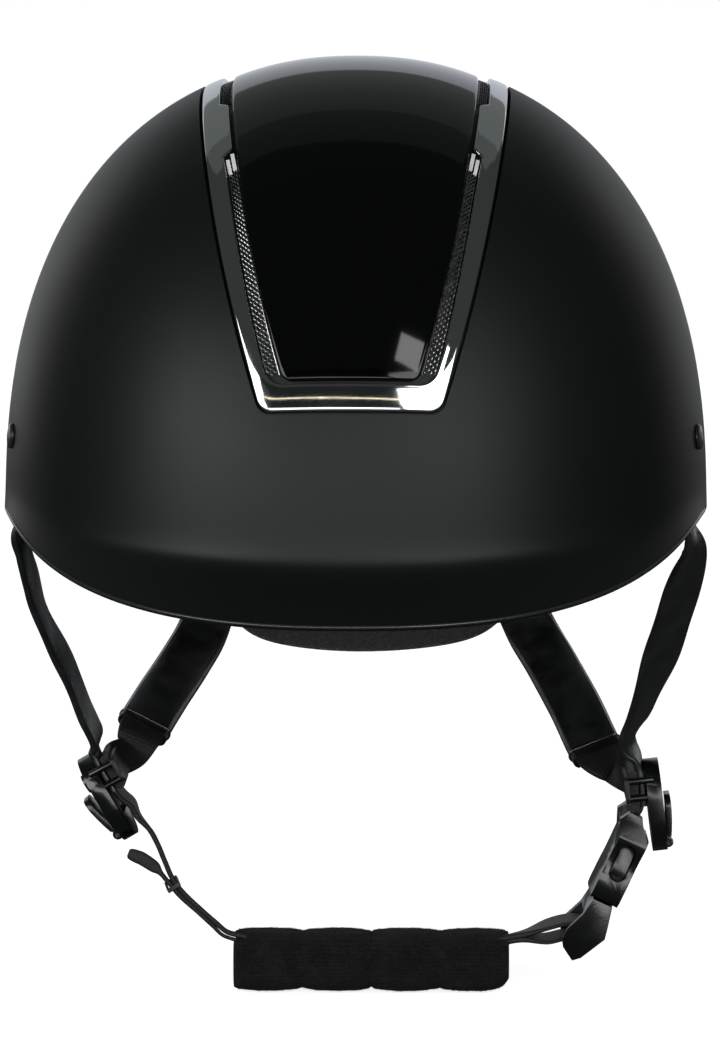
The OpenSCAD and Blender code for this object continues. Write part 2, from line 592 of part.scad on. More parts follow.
// The whole way of a rear strap, and how many of its stations lie above the sleeve
function rear_way(hand, list, last) = let (
    narrow = [for (q = rear_rows(last)) [for (k = [0:7]) k == 7 ? 0.78 : q[k]]])
    curve(concat(rear_top(hand), rear_rows(list), narrow), 3);
sleeve_from = 3 * len(rear_top(1));
module rear_sleeve(hand, list, last) {
    way = rear_way(hand, list, last);
    e = sleeve_from + 3 * (len(list) - 1);
    difference() {
        ribbon([for (i = [sleeve_from:e]) way[i]], sleeve_w, sleeve_t);
        ribbon([for (i = [sleeve_from - 1:e + 1]) way[i]], web_w + 4 * seat_gap, strap_t + 2 * seat_gap);
    }
}
module rear_strap(hand, list, last) {
    difference() {
        ribbon(rear_way(hand, list, last), web_w, strap_t);
        at_rear_rivets() cylinder(d = shank_d + pin_play, h = 24, center = true, $fn = 32);
    }
}
module rear_strap_left() { color("#202223") rear_strap(-1, left_rear, left_rear_end); }
module rear_strap_right() { color("#202223") rear_strap(1, right_rear, right_rear_end); }
module rear_sleeve_left() { color("#141415") rear_sleeve(-1, left_rear, left_rear_end); }
module rear_sleeve_right() { color("#141415") rear_sleeve(1, right_rear, right_rear_end); }

// Dividers, in their own frame: +Z runs up the plate, and +X faces out
module in_left() { translate(left_divider) rotate([0, left_tilt, 0]) mirror([1, 0, 0]) children(); }
module in_right() { translate(right_divider) rotate([0, right_tilt, 0]) children(); }
lever_pin_z = -11.6;
lever_pin_x = divider_t / 2 + 0.3;
pin_d = 1.4;
knuckle_d = 2.8;
// Corners of the clamp behind the plate, where its posts stand
clamp_posts = [[-10.3, 10], [-10.3, 4.4]];
clamp_x = divider_t / 2 + 6.3;
clamp_t = 1.4;
post_d = 2.2;
module oval(l, w, t) {
    // Stadium that stands on its end, with the thickness along X
    rotate([0, 90, 0]) linear_extrude(t, center = true) hull() for (h = [-1, 1])
        translate([h * (l - w) / 2, 0]) circle(d = w, $fn = 48);
}
module rounded_box(w, l, t, r) {
    // Block across Y and up Z with its four corners rounded, the thickness along X
    rotate([0, 90, 0]) linear_extrude(t, center = true) hull() for (a = [-1, 1], b = [-1, 1])
        translate([a * (l / 2 - r), b * (w / 2 - r)]) circle(r = r, $fn = 32);
}
module cross_pin(d, h) {
    translate([lever_pin_x, 0, lever_pin_z]) rotate([90, 0, 0]) cylinder(d = d, h = h, center = true, $fn = 32);
}
module divider_plate() {
    difference() {
        union() {
            oval(divider_l, divider_w, divider_t);
            // Ears for the lever's pin
            for (h = [-1, 1]) translate([0, h * 6.3, 0]) cross_pin(3.4, 1.8);
            // Posts that carry the clamp
            for (q = clamp_posts) translate([0, q[0], q[1]]) rotate([0, -90, 0])
                cylinder(d = post_d, h = clamp_x + clamp_t / 2, $fn = 32);
        }
        cross_pin(pin_d + 0.1, 30);
        cross_pin(knuckle_d + 2 * seat_gap, 10.8);
        // Slots for webbing
        for (z = [divider_l / 2 - 4.6, -5.6]) translate([0, 0, z])
            cube([divider_t * 2, 13.4, 2.4], center = true);
    }
}
stud_d = 6.4; // [5.6:0.1:6.8]
lever_l = 17; // [16:0.1:17.5]
lever_mid = -5;
module stud() {
    translate([divider_t / 2 - 0.5, 0, lever_mid + lever_l / 2 + seat_gap + stud_d / 2])
        rotate([0, 90, 0]) cylinder(d = stud_d, h = 2.4, $fn = 48);
}
module divider_plate_left() {
    color("#17191a") in_left() {
        divider_plate();
        stud();
    }
}
module divider_plate_right() { color("#17191a") in_right() divider_plate(); }
module divider_clamp() {
    difference() {
        translate([-clamp_x, 0, 7.2]) rounded_box(23.4, 8.8, clamp_t, 2);
        for (q = clamp_posts) translate([0, q[0], q[1]]) rotate([0, -90, 0])
            cylinder(d = post_d + 0.2, h = 2 * clamp_x, $fn = 32);
    }
}
module divider_clamp_left() { color("#1c1e1f") in_left() divider_clamp(); }
module divider_clamp_right() { color("#1c1e1f") in_right() divider_clamp(); }

// Lock lever: a bowed leaf that closes over the plate and turns on its pin
lever_bow = 60;
lever_top = 5 + (divider_t - 4.8) / 2;
module bow_drum(r) {
    translate([lever_top - lever_bow, 0, 1]) rotate([90, 0, 0]) cylinder(r = r, h = 40, center = true, $fn = 240);
}
module lock_lever() {
    difference() {
        union() {
            cross_pin(knuckle_d, 9.8);
            difference() {
                intersection() {
                    translate([divider_t / 2 + seat_gap + 3, 0, lever_mid])
                        rounded_box(13.6, lever_l, 6, 4);
                    bow_drum(lever_bow);
                    // Below the pin the leaf is no larger than its knuckle
                    union() {
                        cross_pin(knuckle_d, 30);
                        translate([0, -20, lever_pin_z]) cube(40);
                    }
                }
                intersection() {
                    bow_drum(lever_bow - lever_t);
                    translate([0, -20, -8]) cube([20, 40, 20]);
                }
            }
        }
        cross_pin(pin_d + 0.12, 30);
        // Room for the two ears beside the knuckle
        for (h = [-1, 1]) translate([0, h * 6.6, 0]) cross_pin(4.4, 3);
    }
}
// Turns what follows open about the lever's pin
module opened(a) {
    translate([lever_pin_x, 0, lever_pin_z]) rotate([0, a, 0]) translate([-lever_pin_x, 0, -lever_pin_z])
        children();
}
module lock_lever_left() { color("#1d2021") in_left() opened(left_ajar) lock_lever(); }
module lock_lever_right() { color("#1d2021") in_right() lock_lever(); }
module lever_pins() {
    color("#8a8d90") {
        in_left() cross_pin(pin_d, 14.4);
        in_right() cross_pin(pin_d, 14.4);
    }
}

// Chin webbing on the left, from the divider to the pad, and its folded tail
// The band leans a little where it hangs free, and lies square on the bars
lean = [0.055, -0.2];
function lean_at(x) = let (k = ramp((x + 75) / 7) * (1 - ramp((x - 50) / 14)))
    [k * (x < -20 ? -lean[0] : x < 20 ? 0 : lean[0] / 2), 1, k * lean[1]];
function flat_rows(list) = [for (q = list) row(q[0], divider_y, q[1], lean_at(q[0]), len(q) > 2 ? q[2] : 1)];
web_gap = 0.3;
web_half = (web_t + web_gap) / 2;
function flat_at(q) = [q[0], q[2]];
web_left = [flat_at(left_at(-3.6, 6)), flat_at(left_at(-3.7, 2)), flat_at(left_at(-4.4, -2.6)),
    flat_at(left_at(-5.6, -6.2)), [-71.2, -104.8], [-67.5, -109.4], [-64.9, -114.3], [-62.9, -119.2],
    [-60.2, -125.4], [-56.6, -130.3], [-50.6, -136.1], [-46.2, -140], [-43.1, -142.7],
    [-41, web_z + web_half]];
module chin_web_left() {
    color("#202223") ribbon(curve(flat_rows(web_left), 3), web_w, web_t);
}
tail_rows = [[-74.6, -117, 2.6], [-73.4, -117.5, 3.6], [-70, -119, 3.6], [-66.4, -121.4, 3.2],
    [-64.6, -123.4, 1.2], [-61.6, -127.2], [-57.9, -131.8], [-51.8, -137.4], [-47.4, -141.4],
    [-44.2, -144.2], [-41, web_z - web_half]];
module web_tail() {
    rows = [for (q = flat_rows(tail_rows)) [for (k = [0:7]) k == 3 ? -lean[0] : k == 5 ? lean[1] : q[k]]];
    color("#202223") ribbon(curve(rows, 3), web_w, web_t);
}
// Rubber keeper round both layers
keeper_mid = [-60.2, divider_y, -127.3];
keeper_tilt = -33;
module keeper_ring() {
    color("#101112") translate(keeper_mid) rotate([0, keeper_tilt, 0])
        rotate([0, 0, 8.5]) difference() {
        cube([5.8, web_w + 3, 2.4], center = true);
        cube([4.2, web_w + 1.4, 8], center = true);
    }
}

// Chin webbing through the pad and round the tongue's bar, as one band
tongue_bar_z = 6.4;
function in_buckle(x, z) = [buckle_foot[0] + cos(buckle_tilt) * x + sin(buckle_tilt) * z,
    buckle_foot[2] - sin(buckle_tilt) * x + cos(buckle_tilt) * z];
bar_at = in_buckle(0, tongue_bar_z);
web_turn = bar_d / 2 + seat_gap + web_t / 2;
// The band sags to the middle of the pad between its ends
function sag_z(x) = web_z - 6.4 * ramp((49.5 - abs(x - pad_mid[0])) / 22);
web_stops = [-40.2, -34, -28, -18, 0, 18, 34, 40, 47, 54];
function web_rows() = concat(
    [for (x = web_stops) [x, sag_z(x) - web_half]],
    [[62, web_z - web_half + 0.1], [68, bar_at[1] - web_turn - 0.3]],
    [for (a = [-90:30:90]) [bar_at[0] + web_turn * cos(a), bar_at[1] + web_turn * sin(a)]],
    [[68.4, bar_at[1] + web_turn - 0.2], [62, web_z + 3.9], [55, web_z + web_half + 0.3]],
    [for (x = flip([for (x = web_stops) if (x < 50) x])) [x, sag_z(x) + web_half]]);
module chin_web() {
    color("#202223") ribbon(flat_rows(web_rows()), web_w, web_t);
}

// Chin pad: lobes along its length that draw in at the sewn channels and at the ends
PAD_STEPS = 32;
PAD_SIDES = 20;
function pad_swell(u) = 0.93 + 0.07 * sqrt(abs(sin(u * 180 * pad_lobes)));
module chin_pad() {
    rings = [for (i = [0:PAD_STEPS]) let (u = i / PAD_STEPS, s = pad_swell(u))
        [for (t = turn_steps(PAD_SIDES))
            let (c = cos(t), d = sin(t),
                y = pad_d / 2 * side(c) * pow(abs(c), 0.6) * (0.5 + 0.5 * s),
                z = pad_h / 2 * side(d) * pow(abs(d), 0.6) * s)
            [pad_mid[0] + pad_l * (u - 0.5), pad_mid[1] + y, pad_mid[2] + z]]];
    stops = [for (x = concat([-46], web_stops)) [x, sag_z(x)]];
    color("#0d0d0e") resize([pad_l, 0, 0]) difference() {
        loft(flip(rings), [pad_mid[0] + pad_l / 2, pad_mid[1], pad_mid[2]],
            [pad_mid[0] - pad_l / 2, pad_mid[1], pad_mid[2]]);
        ribbon(flat_rows(stops), web_w + 4 * seat_gap, 2 * web_t + web_gap + 2 * seat_gap);
    }
}

// Buckle, in its own frame: +Z runs up the strap from the tongue's foot, and +X faces out
module in_buckle_frame() { translate(buckle_foot) rotate([0, buckle_tilt, 0]) children(); }
mouth_z = tongue_l + seat_gap;
housing_top = mouth_z + housing_l;
cavity_w = buckle_w - 2 * housing_wall;
cavity_t = buckle_t - 2 * housing_wall;
window_z = [mouth_z + 7.8, mouth_z + 20.6];
web_bar_z = housing_top + 3.5;
web_bar_x = -2.6;
cheek_y = web_w / 2 + 0.6;
module buckle_housing() {
    color("#1b1d1f") in_buckle_frame() difference() {
        union() {
            translate([0, 0, (mouth_z + housing_top) / 2]) rounded_box(buckle_w, housing_l, buckle_t, 2.4);
            // Cheeks and bar for the strap
            for (h = [0, 1]) translate([0, h > 0 ? buckle_w / 2 - 0.1 : -cheek_y, housing_top]) rotate([90, 0, 0])
                linear_extrude(buckle_w / 2 - 0.1 - cheek_y) polygon([[-4.7, -2.4], [4.7, -2.4], [4.7, -0.6],
                    [1, 3.6], [-0.6, 6.4], [-5, 6.4], [-7, 3]]);
            translate([web_bar_x, 0, web_bar_z]) rotate([90, 0, 0])
                cylinder(d = bar_d, h = 2 * cheek_y + 2, center = true, $fn = 32);
        }
        // Cavity, open at the mouth
        translate([-cavity_t / 2, -cavity_w / 2, mouth_z - 1]) cube([cavity_t, cavity_w, housing_l - 0.6]);
        // Side windows that the arms spring into
        for (h = [-1, 1]) translate([0, h * buckle_w / 2, (window_z[0] + window_z[1]) / 2])
            rotate([90, 0, 0]) linear_extrude(2.4 * housing_wall, center = true) hull() for (g = [-1, 1])
                translate([0, g * ((window_z[1] - window_z[0]) / 2 - cavity_t / 2)])
                    circle(d = cavity_t, $fn = 32);
        // Grip hollows beside the windows
        for (h = [-1, 1]) translate([0, h * (buckle_w / 2 + 13.6), (window_z[0] + window_z[1]) / 2])
            rotate([0, 90, 0]) cylinder(r = 14.6, h = 20, center = true, $fn = 90);
    }
}
// Short web from the housing's bar up to the right divider
function web_link_rows() = let (c = in_buckle(web_bar_x, web_bar_z), r = bar_d / 2 + seat_gap + web_t / 2)
    concat([for (a = [30:-30:-240]) [c[0] + r * cos(a), c[1] + r * sin(a)]],
        [flat_at(right_at(-6, -1.2)), flat_at(right_at(-4.4, 1.2)), flat_at(right_at(-3.7, 6))]);
module housing_web() {
    color("#3a3d40") ribbon(flat_rows(web_link_rows()), web_w, web_t);
}

// Tongue: strap end with its bar, shoulder and centre guide
arm_root_z = mouth_z + 1.6;
arm_root_y = cavity_w / 2 - 3.2;
arm_t = cavity_t - 2 * seat_gap - 0.2;
module buckle_tongue() {
    color("#222426") in_buckle_frame() {
        difference() {
            translate([0, buckle_w / 2 - 0.6, 0]) rotate([90, 0, 0]) linear_extrude(buckle_w - 1.2)
                polygon([[-6.8, 1.2], [-5.4, -1], [-0.8, -3.8], [1.4, -1.8], [5.8, 7], [5.2, 10],
                    [3.4, tongue_l], [-3.4, tongue_l], [-4.2, 11.6], [-6.8, 5]]);
            // Window for the webbing, on both sides of the strap bar
            translate([-10, -web_w / 2 - 0.6, -1.8]) cube([20, web_w + 1.2, 13.6]);
        }
        translate([0, 0, tongue_bar_z]) rotate([90, 0, 0])
            cylinder(d = bar_d, h = web_w + 3, center = true, $fn = 32);
        // Guide between the arms
        translate([-arm_t / 2, -2, tongue_l - 1]) cube([arm_t, 4, 17]);
        // Clevis that carries each arm's root
        for (h = [-1, 1]) translate([-arm_t / 2, h * arm_root_y - 1.1, tongue_l - 1]) difference() {
            cube([arm_t, 2.2, 3.6]);
            translate([arm_t / 2, 1.1, arm_root_z - tongue_l + 1]) rotate([0, 90, 0])
                cylinder(d = 3.2, h = 2 * arm_t, center = true, $fn = 32);
        }
    }
}
// Sprung arm with its catch, drawn for the +Y side
arm_tip_z = mouth_z + 21.4;
module arm_shape() {
    reach = buckle_w / 2 - 0.4;
    inner = cavity_w / 2 - seat_gap - 0.1;
    difference() {
        union() {
            rotate([90, 0, 90]) linear_extrude(arm_t, center = true)
                polygon([[arm_root_y - 1, arm_root_z], [arm_root_y + 1, arm_root_z],
                    [inner - 0.5, window_z[0] - 1.4], [inner - 0.5, window_z[0] + 2],
                    [reach, window_z[0] + 2], [reach, window_z[0] + 4.2], [reach - 0.7, window_z[0] + 7],
                    [inner, window_z[0] + 10.2], [inner - 1.4, arm_tip_z], [inner - 3.6, arm_tip_z],
                    [inner - 3.8, window_z[0] + 7], [inner - 2.6, window_z[0] + 1]]);
            translate([0, arm_root_y, arm_root_z]) rotate([0, 90, 0])
                cylinder(d = 2.6, h = arm_t, center = true, $fn = 32);
        }
    }
}
module buckle_arm_rear() { color("#2b2e30") in_buckle_frame() arm_shape(); }
module buckle_arm_front() { color("#2b2e30") in_buckle_frame() mirror([0, 1, 0]) arm_shape(); }

outer_shell();
peak_lining();
foam_liner();
top_panel();
trim_frame();
vent_mesh_front_left();
vent_mesh_front_right();
vent_mesh_rear_left();
vent_mesh_rear_right();
comfort_band();
crown_pad();
nape_band();
shell_rivets();
rivet_washers();
front_strap_left();
front_strap_right();
rear_strap_left();
rear_strap_right();
rear_sleeve_left();
rear_sleeve_right();
divider_plate_left();
divider_plate_right();
divider_clamp_left();
divider_clamp_right();
lock_lever_left();
lock_lever_right();
lever_pins();
chin_web_left();
web_tail();
keeper_ring();
chin_web();
chin_pad();
buckle_housing();
housing_web();
buckle_tongue();
buckle_arm_front();
buckle_arm_rear();
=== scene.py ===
# %% [markdown]
# # Riding helmet: a dressed model over the CAD frame
# A riding helmet is a hard shell over a foam liner, with padding inside and a harness below.
# The imported CAD model is loaded first and stays where it is: it holds the sizes and the joints.
# It could be sculpted over by hand, but then no size could be checked or changed. So every visible
# piece is built from a profile or a grid of points, in millimetres, and most ride on their CAD body.

# %% Load the frame
import bpy
import bmesh
import math
import numpy as np
from mathutils import Matrix, Vector


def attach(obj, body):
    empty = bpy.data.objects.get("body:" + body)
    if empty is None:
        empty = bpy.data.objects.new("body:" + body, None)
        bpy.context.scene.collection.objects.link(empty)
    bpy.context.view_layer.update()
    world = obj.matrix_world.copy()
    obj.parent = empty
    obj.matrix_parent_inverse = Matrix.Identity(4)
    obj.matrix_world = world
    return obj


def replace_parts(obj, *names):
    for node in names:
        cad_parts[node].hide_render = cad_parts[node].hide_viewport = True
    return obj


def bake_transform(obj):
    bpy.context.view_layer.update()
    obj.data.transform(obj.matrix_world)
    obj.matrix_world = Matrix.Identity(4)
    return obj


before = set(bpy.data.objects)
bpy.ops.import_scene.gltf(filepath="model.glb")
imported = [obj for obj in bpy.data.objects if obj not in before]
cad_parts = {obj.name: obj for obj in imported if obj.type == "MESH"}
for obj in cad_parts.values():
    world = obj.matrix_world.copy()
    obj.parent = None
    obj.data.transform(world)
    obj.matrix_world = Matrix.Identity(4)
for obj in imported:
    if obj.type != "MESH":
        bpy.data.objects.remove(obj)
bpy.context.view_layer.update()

# %% [markdown]
# ## Camera
# The photo was taken from 1.55 m, 7 degrees above level and 0.75 degrees to the wearer's left.
# A camera could be placed by eye, but a computed one gives the same frame each time: one pixel
# stands for 0.3224 mm in the helmet's middle plane, and that gives the focal length.

# %% Camera at the photo's viewing angle
IMAGE_H, SENSOR_H = 1051, 24.0
DISTANCE, MM_PER_PX = 1.550, 0.3224
LOOK_AT = Vector((0.0011, 0.0, -0.0086))
elevation, azimuth = math.radians(7.0), math.radians(0.75)
away = Vector((math.sin(azimuth) * math.cos(elevation),
               -math.cos(azimuth) * math.cos(elevation), math.sin(elevation)))
cam_data = bpy.data.cameras.new("photo_camera")
cam_data.sensor_fit = "VERTICAL"
cam_data.sensor_height = SENSOR_H
cam_data.lens = SENSOR_H * (DISTANCE * 1000 / MM_PER_PX) / IMAGE_H
cam_data.clip_start, cam_data.clip_end = 0.05, 50
camera = bpy.data.objects.new("photo_camera", cam_data)
camera.location = LOOK_AT + DISTANCE * away
camera.rotation_euler = (-away).to_track_quat("-Z", "Y").to_euler()
bpy.context.scene.collection.objects.link(camera)
bpy.context.scene.camera = camera
bpy.context.scene.view_settings.view_transform = "Standard"
print("lens, mm:", round(cam_data.lens, 1))

# %% [markdown]
# ## Small tools for meshes
# Blender's operators could add and edit shapes one by one, but they depend on what is selected.
# Here a piece is made from arrays instead: points in millimetres, faces as index rows, and a flat
# map in centimetres along and across the piece, on which the weave and grain are drawn.

# %% Meshes from arrays
def piece(name, points, faces, flat_map=None, angle=40, body=None, slot=None, material=None):
    """One object at the origin from points in mm. Faces: an array of index rows, or a list of arrays."""
    sets = faces if isinstance(faces, list) else [faces]
    rows = [row for block in sets for row in np.asarray(block, int).tolist()]
    mesh = bpy.data.meshes.new(name)
    mesh.from_pydata((np.asarray(points, float) / 1000).tolist(), [], rows)
    if flat_map is not None:
        layer = mesh.uv_layers.new(name="flat")
        index = np.zeros(len(mesh.loops), int)
        mesh.loops.foreach_get("vertex_index", index)
        layer.data.foreach_set("uv", (np.asarray(flat_map, float)[index] / 10).ravel())
    if angle:
        mesh.shade_smooth()
        mesh.set_sharp_from_angle(angle=math.radians(angle))
    obj = bpy.data.objects.new(name, mesh)
    bpy.context.scene.collection.objects.link(obj)
    if material:
        mesh.materials.append(material)
    if body:
        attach(obj, body)
    return obj


def strip(rows, cols, wrap_rows=False, wrap_cols=False, start=0):
    """Quads over a grid of rows by cols points; a wrapped side joins back to its start."""
    i = np.arange(rows if wrap_rows else rows - 1)[:, None]
    j = np.arange(cols if wrap_cols else cols - 1)[None, :]
    a = i * cols + j
    b = i * cols + (j + 1) % cols
    c = ((i + 1) % rows) * cols + (j + 1) % cols
    d = ((i + 1) % rows) * cols + j
    return np.stack([a, b, c, d], -1).reshape(-1, 4) + start


# %% [markdown]
# ## Closed forms
# A piece with an open edge would show its inside, and weigh nothing. Solidify could close a sheet
# later, but then its rim is square. Two grids joined along their border, or a fan from a middle
# point to a ring, close a form at once. The last helper turns all its faces outwards.

# %% Fans, slabs and normals
def fan(centre, ring, turn=False):
    """Triangles from one point to a closed ring of indices."""
    ring = np.asarray(ring)
    after = np.roll(ring, -1)
    rows = np.stack([np.full(len(ring), centre), ring, after], -1)
    return rows[:, ::-1] if turn else rows


def slab(top, low):
    """A closed sheet between two equal grids of points: points and quads."""
    rows, cols = top.shape[:2]
    n = rows * cols
    walk = np.concatenate([np.arange(cols), np.arange(1, rows) * cols + cols - 1,
                           (rows - 1) * cols + np.arange(cols - 2, -1, -1),
                           np.arange(rows - 2, 0, -1) * cols])
    after = np.roll(walk, -1)
    side = np.stack([walk, walk + n, after + n, after], -1)
    return (np.concatenate([top.reshape(-1, 3), low.reshape(-1, 3)]),
            np.concatenate([strip(rows, cols), strip(rows, cols)[:, ::-1] + n, side]))


def unit(v):
    """Each vector divided by its length."""
    return v / np.maximum(np.linalg.norm(v, axis=-1, keepdims=True), 1e-12)


def fix_normals(obj):
    """Turn every face of a closed mesh outwards."""
    work = bmesh.new()
    work.from_mesh(obj.data)
    bmesh.ops.recalc_face_normals(work, faces=work.faces)
    work.to_mesh(obj.data)
    work.free()
    return obj


# %% [markdown]
# ## Lines, bands and tubes
# Straps, threads and wires all follow a line. A Bezier curve with a bevel could draw them, but its
# section turns by itself where the line bends. Here a smooth curve runs through stated stations,
# and each station says which way the band's width points.

# %% Smooth curves through stations
def curve(stations, steps):
    """Catmull-Rom curve through rows of numbers: steps points for each span, and the last one."""
    p = np.asarray(stations, float)
    e = len(p) - 1
    i = np.arange(e)
    a, b, c, d = p[np.maximum(i - 1, 0)], p[i], p[i + 1], p[np.minimum(i + 2, e)]
    t = (np.arange(steps) / steps)[None, :, None]
    a, b, c, d = (q[:, None, :] for q in (a, b, c, d))
    line = 0.5 * (2 * b + (c - a) * t + (2 * a - 5 * b + 4 * c - d) * t ** 2
                  + (3 * b - a - 3 * c + d) * t ** 3)
    return np.concatenate([line.reshape(-1, p.shape[1]), p[-1:]])


def directions(place):
    """Unit direction at each point of a line: from the point before to the point after."""
    ahead = np.concatenate([place[1:], place[-1:]])
    behind = np.concatenate([place[:1], place[:-1]])
    return unit(ahead - behind)


def arc_length(place):
    """Distance along a line from its start to each point."""
    return np.concatenate([[0], np.cumsum(np.linalg.norm(np.diff(place, axis=0), axis=1))])


def band_frame(stations):
    """Place, direction, width direction and face normal of each station of a flat band."""
    place, hint = stations[:, :3], stations[:, 3:6]
    along = directions(place)
    wide = unit(hint - np.sum(hint * along, -1, keepdims=True) * along)
    return place, along, wide, np.cross(along, wide)


# %% [markdown]
# ## Bands and tubes along a line
# A strap is a flat section carried along its line, and a thread or wire is a small ring carried
# along many lines at once. Extruding face by face would be slow. Here all rings are worked out as
# one array, and the strip and the fans above join them.

# %% Bands and tubes
FACE_POINTS, CORNER_POINTS = 9, 5


def soft_section(w, t, edge):
    """A flat band's outline as (across, through): straight faces joined by half ellipses edge deep."""
    a = np.radians(np.linspace(90, -90, 2 * CORNER_POINTS + 1))
    right = np.stack([w / 2 - edge + edge * np.cos(a), t / 2 * np.sin(a)], -1)
    flat = np.linspace(-w / 2 + edge, w / 2 - edge, FACE_POINTS)
    top = np.stack([flat[:-1], np.full(FACE_POINTS - 1, t / 2)], -1)
    low = np.stack([flat[::-1][1:], np.full(FACE_POINTS - 1, -t / 2)], -1)
    left = right[::-1] * [-1, 1]
    return np.concatenate([top, right, low[:-1], left[:-1]])


def sweep(stations, section, shape=None):
    """Closed skin of a section carried along a band: points, faces and flat map."""
    place, along, wide, thick = band_frame(stations)
    across = section[None, :, 0] * stations[:, 7:8]
    through = section[None, :, 1] * stations[:, 6:7]
    if shape is not None:
        across, through = shape(across, through, arc_length(place)[:, None])
    rings = place[:, None] + wide[:, None] * across[..., None] + thick[:, None] * through[..., None]
    n, m = across.shape
    points = np.concatenate([rings.reshape(-1, 3), [rings[0].mean(0), rings[-1].mean(0)]])
    faces = [strip(n, m, wrap_cols=True), fan(n * m, np.arange(m), True),
             fan(n * m + 1, (n - 1) * m + np.arange(m))]
    length = np.repeat(arc_length(place)[:, None], m, 1)
    flat_map = np.concatenate([np.stack([length, across], -1).reshape(-1, 2),
                               [[0, 0], [length[-1, 0], 0]]])
    return points, faces, flat_map


def tubes(paths, radius, up, sides=6, flatten=1.0):
    """Closed tubes round many paths at once, as rings of sides points; paths: tubes, points, 3."""
    along = unit(np.gradient(paths, axis=1))
    u = unit(np.cross(along, np.broadcast_to(up, paths.shape)))
    v = np.cross(u, along)
    a = np.arange(sides) * 2 * math.pi / sides
    ring = (paths[:, :, None] + radius * (u[:, :, None] * np.cos(a)[:, None]
            + flatten * v[:, :, None] * np.sin(a)[:, None]))
    k, n = paths.shape[:2]
    points = np.concatenate([ring.reshape(-1, 3), paths[:, 0], paths[:, -1]])
    first = np.arange(k)[:, None, None] * n * sides
    body = (strip(n, sides, wrap_cols=True)[None] + first).reshape(-1, 4)
    start = first[:, :, 0] + np.arange(sides)
    end = start + (n - 1) * sides
    centre = k * n * sides + np.arange(k)
    cap = lambda ring, centre: np.stack([np.broadcast_to(centre[:, None], ring.shape), ring,
                                         np.roll(ring, -1, 1)], -1).reshape(-1, 3)
    return points, [body, cap(start, centre)[:, ::-1], cap(end, centre + k)]


# %% [markdown]
# ## Shell formulas
# The real shell is one moulding: a dome with a short peak that grows out below a rounded crease.
# Subdivision over a rough cage could give such a form, but its size would be hard to hold.
# Here the dome is a superellipsoid. Azimuth t runs from 0 at the front over 90 at the ears to 180
# behind, in degrees, and the same formulas place the trim, the liner and the pads.

# %% Dome, crease, peak and rim
POWER = 2.32
OUTER = (112.0, 132.0, 137.0, 141.5)
INNER = (108.4, 128.4, 133.4, 137.9)
FOAM = (108.1, 128.1, 133.1, 137.6)
HEAD = (86.1, 107.1, 112.1, 110.6)
PEAK_REACH, PEAK_DROP, CREASE_Z, CREASE_R, CREASE_RISE = 26.0, 20.8, -5.4, 3.0, 14.2
NAPE_DROP, NAPE_FROM, NAPE_SPAN, PEAK_END, WALL, SKIRT_Z = 28.0, 100, 75, 68.0, 3.6, 10.0
TUCK, TUCK_FROM, TUCK_SPAN = 0.10, 95, 60
FRONT_RIVET, REAR_RIVET = (-45, 25), (158.0, 6)  # y and z in mm; azimuth and z
sin = lambda t: np.sin(np.radians(t))
cos = lambda t: np.cos(np.radians(t))


def ramp(v):
    """Smooth step: 0 up to v = 0, 3v^2 - 2v^3 between, 1 from v = 1."""
    c = np.clip(v, 0, 1)
    return c * c * (3 - 2 * c)


def fold(t):
    """Azimuth of either side as 0 to 180."""
    t = np.mod(t, 360)
    return np.where(t > 180, 360 - t, t)


def plan_r(t, half):
    """Radius of the level outline: a superellipse with half sizes left, front and rear."""
    return (np.abs(sin(t) / half[0]) ** POWER
            + np.abs(cos(t) / np.where(cos(t) > 0, half[1], half[2])) ** POWER) ** (-1 / POWER)


def rim_z(t):
    """Height of the lower edge: low at the peak, 0 at the ears, lowest at the nape."""
    u = fold(t)
    return (-PEAK_DROP * (1 - ramp((u / PEAK_END) ** 1.3))
            - NAPE_DROP * ramp((u - NAPE_FROM) / NAPE_SPAN))


def peak_gain(t):
    """How far the peak's edge stands out beyond the dome: the longer oval less the dome's."""
    longer = (OUTER[0], OUTER[1] + PEAK_REACH, OUTER[2])
    return np.where(cos(t) > 0, plan_r(t, longer) - plan_r(t, OUTER), 0)


def bend(h):
    """Rounded corner between 0 and h: (root of h^2 + r^2, plus h) / 2."""
    return (np.sqrt(h * h + CREASE_R ** 2) + h) / 2


def bend_slope(h):
    """The slope of bend at h."""
    return (h / np.sqrt(h * h + CREASE_R ** 2) + 1) / 2


def crease_at(t):
    """Height of the crease: it rises with the sine squared towards the ears."""
    return CREASE_Z + CREASE_RISE * sin(t) ** 2


def peak_out(t, z):
    """The peak's part of the radius at height z: none above the crease, all of it at the rim."""
    c = crease_at(t)
    return peak_gain(t) * bend(c - z) / bend(c - rim_z(t))


def peak_steep(t, z):
    """How fast that part grows on the way down."""
    c = crease_at(t)
    return peak_gain(t) / bend(c - rim_z(t)) * bend_slope(c - z)


# %% [markdown]
# ## Skins of the shell
# The outside, the inside and the foam below share one dome and differ only in their half sizes.
# An offset modifier could make the inner ones, but it thins at the crease. The formulas give each
# skin by azimuth and height, and one more gives a point by its angle in the side view, for the trim.

# %% Outer skin, inner skin and points on the dome
def dome_r(t, z, half):
    """Radius at height z: the outline shrinks to the crown as a superellipse, and tucks in at the nape."""
    tuck = np.where(z < 0, TUCK * (z / 30) ** 2 * ramp((fold(t) - TUCK_FROM) / TUCK_SPAN), 0)
    shrink = np.where(z > 0, np.maximum(0, 1 - np.abs(z / half[3]) ** POWER) ** (1 / POWER), 1)
    return plan_r(t, half) * shrink * (1 - tuck)


def at(t, r, z):
    """Point at azimuth t, radius r and height z; the front looks along -y."""
    return np.stack(np.broadcast_arrays(sin(t) * r, -cos(t) * r, z), -1)


def outer_skin(t, z):
    """Point of the shell's outside: dome and peak together."""
    return at(t, dome_r(t, z, OUTER) + peak_out(t, z), z)


